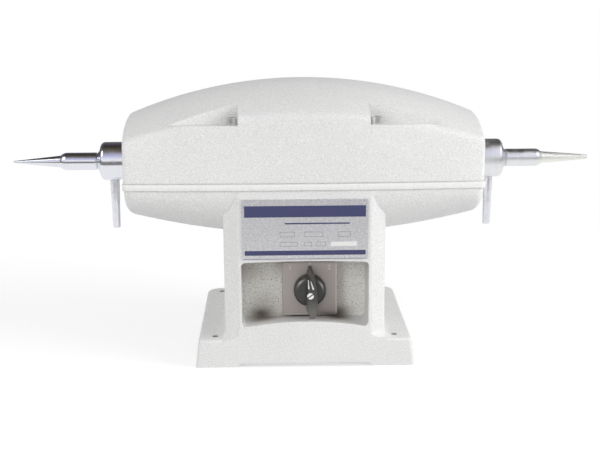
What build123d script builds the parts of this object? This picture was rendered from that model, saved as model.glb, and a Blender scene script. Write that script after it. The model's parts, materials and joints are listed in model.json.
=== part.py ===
from build123d import *

import os
from math import asin, atan, cos, radians, sin, sqrt

# Bench polisher: a motor housing on a pedestal, with a taper spindle at each end.
# Millimetres, +Z up, +X along the shaft, the front faces -Y.
# The origin lies on the bench under the middle of the machine.

os.makedirs("parts", exist_ok=True)

# Motor
shaft_height = 165.5
stator_radius = 50.0
stator_length = 70.0
stator_bore = 29.0
slot_count = 24
slot_width = 4.4
slot_foot = 31.2
slot_depth = 11.2
slot_mouth = 2.0
air_gap = 0.5
winding_gap = 0.2
winding_reach = 20.0
winding_foot = 31.0
winding_top = 43.0
cage_bars = 20
cage_bar_radius = 1.6
cage_ring_length = 7.0
fan_fins = 8
fan_reach = 10.0
fan_thickness = 2.6

# Housing
housing_length = 302.4
side_room = 19.0
housing_wall = 5.0
bell_rim = 3.5
motor_clearance = 5.5
crown_room = 13.6
crown_fall = 30.8
shoulder_rise = 49.0
shoulder_fall = 22.4
shoulder_round = 9.0
belly_rise = 21.9
plan_fall = 4.1
front_lean = 4.0
end_fall = 2.5
end_round = 4.0
belly_round = 9.0
shaft_above_parting = 7.1
rim_height = 5.4
rim_proud = 1.0
rim_round = 0.8
reveal_height = 1.0
reveal_depth = 0.8

# Pedestal and foot flange
pedestal_width = 136.0
pedestal_depth = 139.5
pedestal_wall = 6.0
chamfer_width = 12.5
chamfer_depth = 9.5
pedestal_round = 4.0
pedestal_rear_round = 12.0
foot_round = 6.0
flange_top_width = 181.0
flange_flare = 3.0
flange_height = 24.2
flange_plate = 7.0
flange_side = 6.0
flange_front_round = 3.0
flange_rear_round = 12.0
flange_edge_round = 2.5
pad_height = 3.2
pad_length = 35.0
pad_depth = 32.0
bolt_spacing_x = 153.6
bolt_spacing_y = 131.0
bolt_hole_radius = 2.7

# Switch niche, switch and nameplate
niche_width = 107.0
niche_sill = 35.0
niche_sill_rise = 5.5
niche_head = 92.0
niche_head_rise = 1.2
niche_depth = 40.0
niche_floor_back = 32.0
niche_wall = 4.0
niche_round = 4.0
belly_window_width = 104.0
belly_window_front = -20.0
belly_window_rear = 45.0
switch_x = 5.0
switch_z = 58.5
switch_plate_size = 48.0
switch_plate_thickness = 5.0
switch_plate_round = 2.0
switch_body_size = 44.0
switch_body_length = 46.0
switch_screw_spread = 36.0
switch_spindle_radius = 3.0
switch_spindle_square = 4.2
switch_spindle_depth = 20.0
switch_screw_radius = 1.5
switch_screw_bite = 8.0
knob_radius = 14.0
knob_base = 8.0
knob_height = 22.0
knob_gap = 0.5
handle_length = 42.0
handle_lean = 5.0
handle_width = 9.6
handle_end_width = 6.4
handle_draft = 1.5
handle_tip_width = 2.6
knob_bore = 12.0
knob_screw_head = 2.8
knob_screw_radius = 1.5
knob_screw_bite = 7.0
nameplate_width = 105.0
nameplate_height = 51.4
nameplate_thickness = 0.8
nameplate_round = 1.5
nameplate_above_niche = 2.6

# Cover screws and their notches
notch_inner = 54.0
notch_outer = 116.5
notch_depth_inner = 23.5
notch_depth_outer = 12.0
notch_drop = 8.5
notch_wall = 4.0
cover_screw_x = 59.5
cover_screw_inset = 13.5
cover_screw_radius = 2.5
cover_screw_head = 4.25
cover_screw_head_height = 5.0
cover_screw_bite = 22.0
washer_thickness = 1.0
pillar_radius = 9.0

# Shaft, bearings and end bells
shaft_core_radius = 10.0
shaft_shoulder_radius = 9.0
bearing_bore = 15.0
bearing_od = 35.0
bearing_width = 11.0
bearing_ball = 6.0
bearing_balls = 8
race_clearance = 0.12
shim_thickness = 1.2
hub_wall = 5.5
hub_face = 3.5
bell_wall = 4.7
boss_radius = 15.0
boss_proud = 1.6
felt_length = 5.0
felt_radius = 11.0
shaft_neck_radius = 6.0
tie_bolt_radius = 2.5
tie_ear_radius = 5.5
tie_hex_radius = 4.6
tie_ear_length = 8.0
tie_head_height = 4.0
motor_lug_offset = 45.0
motor_lug_y = 52.0
motor_lug_radius = 8.0
motor_lug_drop = 19.5
motor_lug_thickness = 8.0
motor_screw_radius = 3.0
motor_screw_bite = 14.0
motor_screw_head = 5.0
motor_screw_head_height = 6.0

# Spindle ejector and taper spindles
neck_radius = 10.0
neck_bore_gap = 1.0
collar_radius = 16.9
collar_length = 24.0
collar_gap = 0.4
collar_lip = 1.9
collar_lip_bore = 11.6
collar_round = 4.0
bush_wall = 3.0
bush_length = 16.2
push_ring_flange = 4.0
nose_length = 2.6
nose_tip_radius = 7.9
nose_notches = 8
eject_turn = 60.0
eject_travel = 4.0
lever_offset = 13.0
lever_radius = 4.0
lever_end_radius = 3.5
lever_reach = 60.4
lever_stud_radius = 3.0
lever_pin_radius = 2.0
groove_depth = 1.7
key_width = 2.5
spindle_gap = 0.5
spindle_radius = 7.75
spindle_body = 26.7
spindle_shoulder = 5.8
spindle_point = 41.7
point_base_radius = 5.3
left_tip_radius = 0.9
right_tip_radius = 2.0
taper_length = 24.0
taper_large_radius = 5.4
taper_small_radius = 4.5

# Pieces in the pedestal
capacitor_radius = 17.5
capacitor_length = 68.0
capacitor_x = -38.0
capacitor_foot = 20.0
clip_thickness = 1.4
clip_height = 13.0
clip_ear = 30.0
clip_z = 52.0
block_width = 42.0
block_depth = 15.0
block_height = 14.0
block_x = 35.0
block_z = 76.0
block_screw_spread = 30.0
gland_x = 34.0
gland_rise = 1.3
gland_thread_radius = 8.0
gland_bore_radius = 4.2
gland_hex_radius = 11.0
gland_hex_length = 5.0
gland_dome_length = 9.5
gland_dome_radius = 9.6
locknut_length = 5.0
plate_thickness = 1.5
plate_boss_radius = 5.0
plate_screw_radius = 2.0
plate_screw_bite = 10.0
plate_screw_head = 3.8
plate_screw_head_height = 2.4
fitting_screw_radius = 1.5
fitting_screw_bite = 4.5
lead_radius = 3.4
lead_hole_radius = 5.0
capacitor_lead_radius = 2.0

# Clearances
fit = 0.02
running_fit = 0.06
screw_fit = 0.05
loose = 0.3

# Places worked out from the sizes above
motor_radius = stator_radius + bell_rim
housing_depth = 2 * (motor_radius + side_room + housing_wall)
front = housing_depth / 2
end_x = housing_length / 2
parting = shaft_height - shaft_above_parting
rim_bottom = parting - rim_height
crown_height = shaft_height + motor_radius + crown_room + housing_wall
shoulder_height = shaft_height + shoulder_rise
belly_height = shaft_height - motor_radius - motor_clearance - housing_wall
notch_floor = shoulder_height - notch_drop
notch_back_inner = front - notch_depth_inner
notch_back_outer = front - notch_depth_outer
cover_screw_y = front - cover_screw_inset
pedestal_rear = pedestal_depth - front
pedestal_inner_rear = pedestal_rear - pedestal_wall
flange_ceiling = flange_height - flange_plate
niche_back = niche_depth - front
switch_face = niche_back - switch_plate_thickness
nameplate_z = niche_head + nameplate_above_niche + nameplate_height / 2
stator_end = stator_length / 2
rotor_radius = stator_bore - air_gap
tie_circle = motor_radius + tie_hex_radius + 0.5
lug_x = stator_end + motor_lug_offset
lug_bottom = shaft_height - motor_lug_drop
hub_radius = bearing_od / 2 + hub_wall
hub_out = end_x - end_fall * (hub_radius / front) ** 2 - housing_wall - 2 * loose
seat_end = hub_out - hub_face
bearing_x = seat_end - shim_thickness - bearing_width / 2
boss_face = end_x + boss_proud
collar_in = boss_face + collar_gap
collar_out = collar_in + collar_length
lever_x = collar_in + lever_offset
bush_radius = neck_radius + bush_wall
ring_in = collar_in + bush_length + 0.2
neck_end = ring_in + push_ring_flange + collar_lip - 0.6
nose_face = collar_out + nose_length
spindle_in = nose_face + spindle_gap
spindle_out = spindle_in + spindle_body + spindle_shoulder + spindle_point
neck_bore = shaft_neck_radius + neck_bore_gap
spindle_wall_end = spindle_in + taper_length
plate_screw_x = pedestal_width / 2 - pedestal_wall - plate_boss_radius
plate_screw_front = -front + pedestal_wall + 2.2 * plate_boss_radius
plate_screw_rear = pedestal_inner_rear - plate_boss_radius
capacitor_y = pedestal_inner_rear - capacitor_radius - 1.6 * clip_thickness
lead_x = stator_end + 0.45 * winding_reach
rim_in = stator_end - 4.0
ear_out = rim_in + tie_ear_length
hub_in = bearing_x - bearing_width / 2 - 3.0
seat_radius = bearing_od / 2 + fit
ball_circle = (bearing_bore + bearing_od) / 4
clip_screw_x = capacitor_x + clip_ear - 6.0
corners = [(sx, sy) for sx in (-1, 1) for sy in (-1, 1)]
hanging = (Align.CENTER, Align.CENTER, Align.MAX)


def save(piece, name):
    """Label one finished piece and write its STEP file."""
    piece.label = name
    export_step(piece, f"parts/{name}.step")


def drop(fall, x):
    """How far an arc has fallen away at x, when it falls by fall from the middle to the housing's end."""
    radius = (end_x**2 + fall**2) / (2 * fall)
    return radius - sqrt(radius**2 - x**2)


def across(x):
    """The plane square to the shaft at x, drawn in (y, z) measured from the bench."""
    return Plane(origin=(x, 0, 0), x_dir=(0, 1, 0), z_dir=(1, 0, 0))


def around(x):
    """The plane square to the shaft at x, centred on the shaft."""
    return Plane(origin=(x, 0, shaft_height), x_dir=(0, 1, 0), z_dir=(1, 0, 0))


def facing(y):
    """The plane seen from the front at depth y, drawn in (x, z); extrusions come forward."""
    return Plane(origin=(0, y, 0), x_dir=(1, 0, 0), z_dir=(0, -1, 0))


shaft_plane = Plane(origin=(0, 0, shaft_height), x_dir=(1, 0, 0), z_dir=(0, -1, 0))
shaft_axis = Axis((0, 0, shaft_height), (1, 0, 0))
switch_front = Plane(origin=(switch_x, niche_back, switch_z), x_dir=(1, 0, 0), z_dir=(0, -1, 0))
switch_rear = switch_front.offset(-niche_wall)
knob_back = switch_front.offset(switch_plate_thickness + knob_gap)
inner_rear_wall = facing(pedestal_inner_rear)
gland_z = flange_height + foot_round + gland_rise + gland_hex_radius
gland_plane = Plane(origin=(gland_x, pedestal_rear, gland_z), x_dir=(-1, 0, 0), z_dir=(0, 1, 0))
plate_screw_ys = (plate_screw_front, plate_screw_rear)
plate_screw_places = [(sx * plate_screw_x, y) for sx in (-1, 1) for y in plate_screw_ys]
block_screw_places = [(block_x + side * block_screw_spread / 2, block_z) for side in (-1, 1)]
fitting_places = [(clip_screw_x, clip_z), *block_screw_places]


def turned(outline):
    """A solid turned about the shaft from a closed outline of (x, radius) points."""
    with BuildPart() as solid:
        with BuildSketch(shaft_plane):
            with BuildLine():
                Polyline(*outline, close=True)
            make_face()
        revolve(axis=shaft_axis)
    return solid.part


def on_the_left(part):
    """The same piece for the left end."""
    with BuildPart() as twin:
        mirror(part, about=Plane.YZ)
    return twin.part


def end_to_end(inset):
    """The block between the two ends, which bulge a little in plan, moved in by a wall."""
    tip = end_x - inset
    corner = tip - end_fall
    with BuildPart() as block:
        with BuildSketch():
            with BuildLine():
                right = ThreePointArc((corner, -front), (tip, 0), (corner, front))
                left = ThreePointArc((-corner, front), (-tip, 0), (-corner, -front))
                Line(right @ 1, left @ 0)
                Line(left @ 1, right @ 0)
            make_face()
            with Locations((0, front), (0, -front)):
                Rectangle(2 * corner, front)
        extrude(amount=2 * shaft_height)
    return block.part


stations = [(end_x + end_round) * step / 3 for step in range(-3, 4)]


def cover_form(inset, foot):
    """The domed upper half of the housing: cross-sections lofted along the shaft."""
    with BuildPart() as form:
        for x in stations:
            depth = front - drop(plan_fall, x) - inset
            shoulder = shoulder_height - drop(shoulder_fall, x) - inset / 2
            crown = crown_height - drop(crown_fall, x) - inset
            with BuildSketch(across(x)) as section:
                with BuildLine():
                    wall = Polyline(
                        (front_lean - depth, shoulder),
                        (-depth, foot),
                        (depth, foot),
                        (depth - front_lean, shoulder),
                    )
                    ThreePointArc(wall @ 1, (0, crown), wall @ 0)
                make_face()
                fillet(section.vertices().group_by(Axis.Y)[-1], shoulder_round - inset / 2)
        loft()
        add(end_to_end(inset), mode=Mode.INTERSECT)
    return form


def hull_form(inset, top):
    """The lower half of the housing: an upright rim over a half-ellipse belly."""
    with BuildPart() as form:
        for x in stations:
            depth = front - drop(plan_fall, x) - inset
            sag = rim_bottom - belly_height - drop(belly_rise, x) - inset
            with BuildSketch(across(x)):
                with BuildLine():
                    Polyline((-depth, rim_bottom), (-depth, top), (depth, top), (depth, rim_bottom))
                    EllipticalCenterArc((0, rim_bottom), depth, sag, start_angle=180, arc_size=180)
                make_face()
        loft()
        add(end_to_end(inset), mode=Mode.INTERSECT)
    return form


def end_edges(form, level):
    """The edges round both end faces, without those on the parting plane."""
    faces = form.faces().sort_by(Axis.X)
    edges = faces[0].edges() + faces[-1].edges()
    return edges.filter_by(lambda edge: abs(edge.center().Z - level) > 0.5)


# Outer forms of the housing, with their ends rounded. The belly's tightest bend limits its rounding.
belly_end = rim_bottom - belly_height - belly_rise
hull_round = min(belly_round, 0.8 * belly_end**2 / (front - plan_fall))
cover_outer = cover_form(0, parting)
with cover_outer:
    fillet(end_edges(cover_outer.part, parting), end_round)
hull_outer = hull_form(0, parting)
with hull_outer:
    fillet(end_edges(hull_outer.part, parting), hull_round)


def notch(sx, sy, grow):
    """The screw notch at one corner of the cover, seen in plan, or its wall when grown."""
    slope = (notch_back_outer - notch_back_inner) / (notch_outer - notch_inner)
    inner = notch_inner - grow
    outer = notch_outer + 2 * grow
    back_inner = notch_back_inner - grow - grow * slope
    back_outer = back_inner + (outer - inner) * slope
    past = front + 2 * grow + rim_proud
    with BuildPart() as block:
        with BuildSketch(Plane.XY.offset(notch_floor - grow)):
            with BuildLine():
                Polyline(
                    (sx * inner, sy * back_inner),
                    (sx * inner, sy * past),
                    (sx * outer, sy * past),
                    (sx * outer, sy * back_outer),
                    close=True,
                )
            make_face()
        extrude(amount=crown_height - notch_floor + grow)
    return block.part


# Top cover: domed shell with a screw pillar and a notch at each corner
with BuildPart() as cover_pillars:
    for sx, sy in corners:
        add(notch(sx, sy, notch_wall))
        with BuildSketch(Plane.XY.offset(parting)):
            with Locations((sx * cover_screw_x, sy * cover_screw_y)):
                Circle(pillar_radius)
        extrude(amount=notch_floor - parting)
    add(cover_outer.part, mode=Mode.INTERSECT)

# A shadow line along the parting: the cover's foot is set back a little.
cover_foot = cover_form(reveal_depth, parting)
with cover_foot:
    fillet(end_edges(cover_foot.part, parting), end_round - reveal_depth)
with BuildPart() as reveal:
    with BuildSketch(Plane.XY.offset(parting)):
        Rectangle(2 * housing_length, 2 * housing_depth)
    extrude(amount=reveal_height)
    add(cover_foot.part, mode=Mode.SUBTRACT)

with BuildPart() as top_cover:
    add(cover_outer.part)
    add(reveal.part, mode=Mode.SUBTRACT)
    add(cover_form(housing_wall, parting - housing_wall).part, mode=Mode.SUBTRACT)
    add(cover_pillars.part)
    for sx, sy in corners:
        add(notch(sx, sy, 0), mode=Mode.SUBTRACT)
        with Locations((sx * cover_screw_x, sy * cover_screw_y, notch_floor)):
            Hole(cover_screw_radius + loose)
    with BuildSketch(around(-housing_length)):
        Circle(boss_radius + loose)
    extrude(amount=2 * housing_length, mode=Mode.SUBTRACT)
save(top_cover.part, "top_cover")


def pedestal_plan(inset):
    """The pedestal in plan: flat front, chamfered front corners, rounded rear corners."""
    half = pedestal_width / 2 - inset
    face = inset - front
    rear = pedestal_rear - inset
    slant = inset * (sqrt(chamfer_width**2 + chamfer_depth**2) - chamfer_depth) / chamfer_width
    with BuildSketch() as plan:
        with BuildLine():
            Polyline(
                (-half, rear),
                (-half, face + chamfer_depth - inset + slant),
                (inset - slant - half + chamfer_width, face),
                (half - chamfer_width + slant - inset, face),
                (half, face + chamfer_depth - inset + slant),
                (half, rear),
                close=True,
            )
        make_face()
        fillet(plan.vertices().group_by(Axis.Y)[-1], pedestal_rear_round - inset)
    return plan.sketch


def niche_view(grow, sill, rise):
    """The switch niche seen from the front, with a crowned sill and a slightly arched head."""
    half = niche_width / 2 + grow
    foot = sill - grow
    head = niche_head + grow
    with BuildSketch() as view:
        with BuildLine():
            ThreePointArc((-half, foot), (0, foot + rise), (half, foot))
            Line((half, foot), (half, head))
            ThreePointArc((half, head), (0, head + niche_head_rise), (-half, head))
            Line((-half, head), (-half, foot))
        make_face()
        fillet(view.vertices(), niche_round + grow)
    return view.sketch


def niche_block(grow, face):
    """The niche, or its wall when grown: its floor falls from the crowned sill to the back."""
    with BuildPart() as block:
        with BuildSketch(facing(niche_back + grow)):
            add(niche_view(grow, niche_floor_back, 0.1 * niche_sill_rise))
        with BuildSketch(facing(face)):
            add(niche_view(grow, niche_sill, niche_sill_rise))
        loft()
    return block.part


# Foot flange with four corner pads, hollow underneath
with BuildPart() as flange:
    with BuildSketch(facing(front)):
        with BuildLine():
            Polyline(
                (-flange_top_width / 2 - flange_flare, 0),
                (flange_top_width / 2 + flange_flare, 0),
                (flange_top_width / 2, flange_height),
                (-flange_top_width / 2, flange_height),
                close=True,
            )
        make_face()
    extrude(amount=housing_depth)
    uprights = flange.edges().filter_by(lambda edge: abs((edge % 0.5).Z) > 0.9)
    fillet(uprights.group_by(Axis.Y)[0], flange_front_round)
    fillet(uprights.group_by(Axis.Y)[-1], flange_rear_round)
    fillet(flange.faces().sort_by(Axis.Z)[-1].edges(), flange_edge_round)
    with BuildSketch(facing(front)):
        with BuildLine():
            Polyline(
                (pad_length - flange_top_width / 2 - flange_flare, 0),
                (flange_top_width / 2 + flange_flare - pad_length, 0),
                (flange_top_width / 2 + flange_flare - pad_length - pad_height, pad_height),
                (pad_length + pad_height - flange_top_width / 2 - flange_flare, pad_height),
                close=True,
            )
        make_face()
    extrude(amount=housing_depth, mode=Mode.SUBTRACT)
    with BuildSketch(across(-flange_top_width)):
        with BuildLine():
            Polyline(
                (pad_depth - front, 0),
                (front - pad_depth, 0),
                (front - pad_depth - pad_height, pad_height),
                (pad_depth + pad_height - front, pad_height),
                close=True,
            )
        make_face()
    extrude(amount=2 * flange_top_width, mode=Mode.SUBTRACT)

hollow_width = flange_top_width - 2 * flange_side
hollow_depth = housing_depth - 2 * flange_side
pad_core_width = hollow_width / 2 - pedestal_width / 2 + pedestal_wall - 3.0
pad_core_depth = pad_depth - flange_side

# Body casting: lower housing, rim bead, pedestal and flange in one piece
with BuildPart() as rim:
    with BuildSketch(Plane.XY.offset(rim_bottom)):
        with BuildLine():
            far = end_x + end_round
            deep_mid = front + rim_proud
            deep_end = deep_mid - drop(plan_fall, far)
            bead_front = ThreePointArc((-far, -deep_end), (0, -deep_mid), (far, -deep_end))
            bead_rear = ThreePointArc((far, deep_end), (0, deep_mid), (-far, deep_end))
            Line(bead_front @ 1, bead_rear @ 0)
            Line(bead_rear @ 1, bead_front @ 0)
        make_face()
    extrude(amount=rim_height)
    add(end_to_end(-rim_proud), mode=Mode.INTERSECT)
    rim_middle = rim_bottom + rim_height / 2
    fillet(rim.edges().filter_by(lambda edge: abs(edge.center().Z - rim_middle) < 1), end_round + rim_proud)
    fillet(rim.edges().filter_by(lambda edge: abs(edge.center().Z - rim_middle) > 1), rim_round)
    with BuildSketch(around(-housing_length)):
        Circle(collar_radius + 1)
    extrude(amount=2 * housing_length, mode=Mode.SUBTRACT)

with BuildPart() as casting_bosses:
    with Locations(*[(sx * cover_screw_x, sy * cover_screw_y, parting) for sx, sy in corners]):
        Cylinder(pillar_radius, parting - belly_height, align=hanging)
    with Locations(*[(sx * lug_x, sy * motor_lug_y, lug_bottom) for sx, sy in corners]):
        Cylinder(motor_lug_radius, lug_bottom - belly_height, align=hanging)
    add(hull_outer.part, mode=Mode.INTERSECT)

with BuildPart() as pedestal_hollow:
    with BuildSketch():
        add(pedestal_plan(pedestal_wall))
    extrude(amount=rim_bottom)
    add(hull_outer.part, mode=Mode.SUBTRACT)

# The pedestal sweeps out into the flange: its plan grows along a quarter circle.
with BuildPart() as foot_sweep:
    for step in range(5):
        angle = radians(22.5 * step)
        with BuildSketch(Plane.XY.offset(flange_height + foot_round * (1 - cos(angle)))):
            add(pedestal_plan(-foot_round * (1 - sin(angle))))
    loft()
    with BuildSketch(Plane.XY.offset(flange_height - flange_edge_round)):
        add(pedestal_plan(-foot_round))
    extrude(amount=flange_edge_round)
    split(bisect_by=Plane(origin=(0, -front, 0), z_dir=(0, 1, 0)), keep=Keep.TOP)

with BuildPart() as body_casting:
    with BuildSketch(Plane.XY.offset(pad_height)):
        add(pedestal_plan(0))
    extrude(amount=rim_bottom - pad_height)
    fillet(body_casting.edges().filter_by(Axis.Z).sort_by(Axis.Y)[:4], pedestal_round)
    add(flange.part)
    add(foot_sweep.part)
    add(hull_outer.part)
    add(rim.part)
    add(hull_form(housing_wall, parting + 1).part, mode=Mode.SUBTRACT)
    add(pedestal_hollow.part, mode=Mode.SUBTRACT)
    with BuildSketch():
        Rectangle(hollow_width, hollow_depth)
        with GridLocations(hollow_width - pad_core_width, hollow_depth - pad_core_depth, 2, 2):
            Rectangle(pad_core_width, pad_core_depth, mode=Mode.SUBTRACT)
    extrude(amount=flange_ceiling, mode=Mode.SUBTRACT)
    add(casting_bosses.part)
    add(niche_block(niche_wall, pedestal_wall / 2 - front))
    with Locations(*[(x, y, niche_sill) for x, y in plate_screw_places]):
        Cylinder(plate_boss_radius, niche_sill - flange_ceiling, align=hanging)
    add(niche_block(0, -front - 1), mode=Mode.SUBTRACT)
    with Locations((0, 0, flange_height)):
        with GridLocations(bolt_spacing_x, bolt_spacing_y, 2, 2):
            Hole(bolt_hole_radius, depth=flange_height)
    with Locations(*[(sx * cover_screw_x, sy * cover_screw_y, parting) for sx, sy in corners]):
        Hole(cover_screw_radius + screw_fit, depth=cover_screw_bite + 2)
    with Locations(*[(sx * lug_x, sy * motor_lug_y, lug_bottom) for sx, sy in corners]):
        Hole(motor_screw_radius + screw_fit, depth=motor_screw_bite + 2)
    with Locations(*[(x, y, flange_ceiling) for x, y in plate_screw_places]):
        Hole(plate_screw_radius + screw_fit, depth=plate_screw_bite + 1)
    with Locations(switch_front):
        Hole(2 * switch_spindle_radius, depth=niche_wall)
        with GridLocations(switch_screw_spread, switch_screw_spread, 2, 2):
            CounterSinkHole(switch_screw_radius + loose, 2 * switch_screw_radius + loose, depth=niche_wall)
    with Locations(gland_plane):
        Hole(gland_thread_radius + screw_fit, depth=pedestal_wall)
    with Locations(*[inner_rear_wall * Location((x, z, 0)) for x, z in fitting_places]):
        Hole(fitting_screw_radius + screw_fit, depth=fitting_screw_bite + 0.5)
    with BuildSketch(Plane.XY.offset(belly_height - 2)):
        with Locations((0, (belly_window_front + belly_window_rear) / 2)):
            RectangleRounded(belly_window_width, belly_window_rear - belly_window_front, 8)
    extrude(amount=motor_clearance + belly_rise, mode=Mode.SUBTRACT)
    with BuildSketch(around(-housing_length)):
        Circle(boss_radius + loose)
    extrude(amount=2 * housing_length, mode=Mode.SUBTRACT)
save(body_casting.part, "body_casting")


# Cover screws: socket heads on washers in the notches
cover_screw_places = [(sx * cover_screw_x, sy * cover_screw_y) for sx, sy in corners]
head_seat = notch_floor + washer_thickness
with BuildPart() as cover_screws:
    with BuildSketch(Plane.XY.offset(head_seat)):
        with Locations(*cover_screw_places):
            Circle(cover_screw_head)
    extrude(amount=cover_screw_head_height)
    fillet(cover_screws.faces().group_by(Axis.Z)[-1].edges(), 0.5)
    with BuildSketch(Plane.XY.offset(parting - cover_screw_bite)):
        with Locations(*cover_screw_places):
            Circle(cover_screw_radius)
    extrude(amount=head_seat - parting + cover_screw_bite)
    with BuildSketch(Plane.XY.offset(head_seat + cover_screw_head_height)):
        with Locations(*cover_screw_places):
            RegularPolygon(0.8 * cover_screw_radius, 6, major_radius=False)
    extrude(amount=-0.5 * cover_screw_head_height, mode=Mode.SUBTRACT)
save(cover_screws.part, "cover_screws")

with BuildPart() as cover_washers:
    with BuildSketch(Plane.XY.offset(notch_floor)):
        with Locations(*cover_screw_places):
            Circle(1.18 * cover_screw_head)
            Circle(cover_screw_radius + loose, mode=Mode.SUBTRACT)
    extrude(amount=washer_thickness)
save(cover_washers.part, "cover_washers")


# Right end bell: rim on the stator, cone to the bearing hub, boss in the end wall, ejector neck
cone_in = stator_end + 6.0
cone_slope = (hub_radius - motor_radius) / (hub_in - cone_in)


def inside_cone(x):
    """Inner radius of the end bell's cone at x."""
    return motor_radius + (x - cone_in) * cone_slope - bell_wall


bell_outside = [
    (rim_in, 0),
    (rim_in, motor_radius),
    (cone_in, motor_radius),
    (hub_in, hub_radius),
    (hub_out, hub_radius),
    (hub_out, boss_radius),
    (boss_face, boss_radius),
    (boss_face, neck_radius),
    (neck_end, neck_radius),
    (neck_end, 0),
]
bell_inside = [
    (rim_in, 0),
    (rim_in, stator_radius + fit),
    (stator_end, stator_radius + fit),
    (stator_end, inside_cone(stator_end + 15)),
    (stator_end + 15, inside_cone(stator_end + 15)),
    (hub_in - 5, inside_cone(hub_in - 5)),
    (hub_in, seat_radius),
    (seat_end, seat_radius),
    (seat_end, felt_radius),
    (seat_end + felt_length, felt_radius),
    (seat_end + felt_length, neck_bore),
    (neck_end, neck_bore),
    (neck_end, 0),
]

# The lever's pin runs in a slanted groove of the neck. A ring tilted about its middle gives it.
half_turn = radians(eject_turn / 2)
lean = atan(eject_travel / (2 * neck_radius * sin(half_turn)))
groove_plane = Plane(
    origin=(lever_x + eject_travel / 2, 0, shaft_height),
    x_dir=(0, -sin(half_turn), -cos(half_turn)),
    z_dir=(cos(lean), sin(lean) * cos(half_turn), -sin(lean) * sin(half_turn)),
)
groove_reach = half_turn + asin((lever_pin_radius + loose) / (neck_radius - groove_depth)) + radians(2)

with BuildPart() as end_bell_right:
    add(turned(bell_outside))
    with BuildSketch(around(rim_in)):
        with PolarLocations(tie_circle, 4, start_angle=45):
            Circle(tie_ear_radius)
        with PolarLocations(tie_circle - tie_ear_radius, 4, start_angle=45):
            Rectangle(2 * tie_ear_radius, 2 * tie_ear_radius)
    extrude(amount=tie_ear_length)
    with BuildSketch(Plane.XY.offset(lug_bottom)):
        with Locations((lug_x, 0)):
            SlotCenterToCenter(2 * motor_lug_y, 2 * motor_lug_radius, rotation=90)
    extrude(amount=motor_lug_thickness)
    add(turned(bell_inside), mode=Mode.SUBTRACT)
    with BuildSketch(around(rim_in)):
        with PolarLocations(tie_circle, 4, start_angle=45):
            Circle(tie_bolt_radius + loose)
    extrude(amount=tie_ear_length, mode=Mode.SUBTRACT)
    with Locations(*[(lug_x, sy * motor_lug_y, lug_bottom + motor_lug_thickness) for sy in (-1, 1)]):
        Hole(motor_screw_radius + loose, depth=motor_lug_thickness)
    with Locations((lead_x, 0, shaft_height - motor_radius)):
        Hole(lead_hole_radius, depth=3 * bell_wall)
    with BuildSketch(groove_plane):
        Circle(1.5 * neck_radius)
        Circle(neck_radius - groove_depth, mode=Mode.SUBTRACT)
        with BuildLine():
            Polyline(
                (0, 0),
                (2 * neck_radius * cos(groove_reach), 2 * neck_radius * sin(groove_reach)),
                (2 * neck_radius, 0),
                (2 * neck_radius * cos(groove_reach), -2 * neck_radius * sin(groove_reach)),
                close=True,
            )
        make_face(mode=Mode.INTERSECT)
    extrude(amount=lever_pin_radius + loose / 2, both=True, mode=Mode.SUBTRACT)
    with Locations((neck_end, 0, shaft_height + neck_radius)):
        Box(
            neck_end - ring_in + 1,
            key_width + loose,
            2 * (groove_depth - 0.4),
            align=(Align.MAX, Align.CENTER, Align.CENTER),
            mode=Mode.SUBTRACT,
        )
save(end_bell_right.part, "end_bell_right")
save(on_the_left(end_bell_right.part), "end_bell_left")


# Stator: slotted core, winding with its two end turns, tie bolts that clamp the bells to it
with BuildPart() as stator_core:
    with BuildSketch(around(-stator_end)):
        Circle(stator_radius)
        Circle(stator_bore, mode=Mode.SUBTRACT)
        with PolarLocations(slot_foot + slot_depth / 2, slot_count):
            Rectangle(slot_depth, slot_width, mode=Mode.SUBTRACT)
        with PolarLocations(stator_bore + 1, slot_count):
            Rectangle(2 * (slot_foot - stator_bore), slot_mouth, mode=Mode.SUBTRACT)
    extrude(amount=stator_length)
save(stator_core.part, "stator_core")

turns_in = stator_end + 1.2
turns_out = stator_end + winding_reach
with BuildPart() as stator_winding:
    for sign in (-1, 1):
        with BuildSketch(shaft_plane) as turns:
            with BuildLine():
                Polyline(
                    (sign * turns_in, winding_foot),
                    (sign * turns_out, winding_foot),
                    (sign * turns_out, winding_top),
                    (sign * turns_in, winding_top),
                    close=True,
                )
            make_face()
            fillet(turns.vertices(), 4.0)
        revolve(axis=shaft_axis)
    with BuildSketch(around(-turns_in - 5)):
        with PolarLocations(slot_foot + slot_depth / 2, slot_count):
            Rectangle(slot_depth - 2 * winding_gap, slot_width - 2 * winding_gap)
    extrude(amount=2 * turns_in + 10)
save(stator_winding.part, "stator_winding")

with BuildPart() as tie_bolts:
    with BuildSketch(around(-ear_out - tie_head_height - 2)):
        with PolarLocations(tie_circle, 4, start_angle=45):
            Circle(tie_bolt_radius)
    extrude(amount=2 * ear_out + tie_head_height + 2)
    with BuildSketch(around(ear_out)):
        with PolarLocations(tie_circle, 4, start_angle=45):
            RegularPolygon(tie_hex_radius, 6)
    extrude(amount=tie_head_height)
save(tie_bolts.part, "tie_bolts")

with BuildPart() as tie_nuts:
    with BuildSketch(around(-ear_out - tie_head_height)):
        with PolarLocations(tie_circle, 4, start_angle=45):
            RegularPolygon(tie_hex_radius, 6)
            Circle(tie_bolt_radius + screw_fit, mode=Mode.SUBTRACT)
    extrude(amount=tie_head_height)
save(tie_nuts.part, "tie_nuts")

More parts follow.
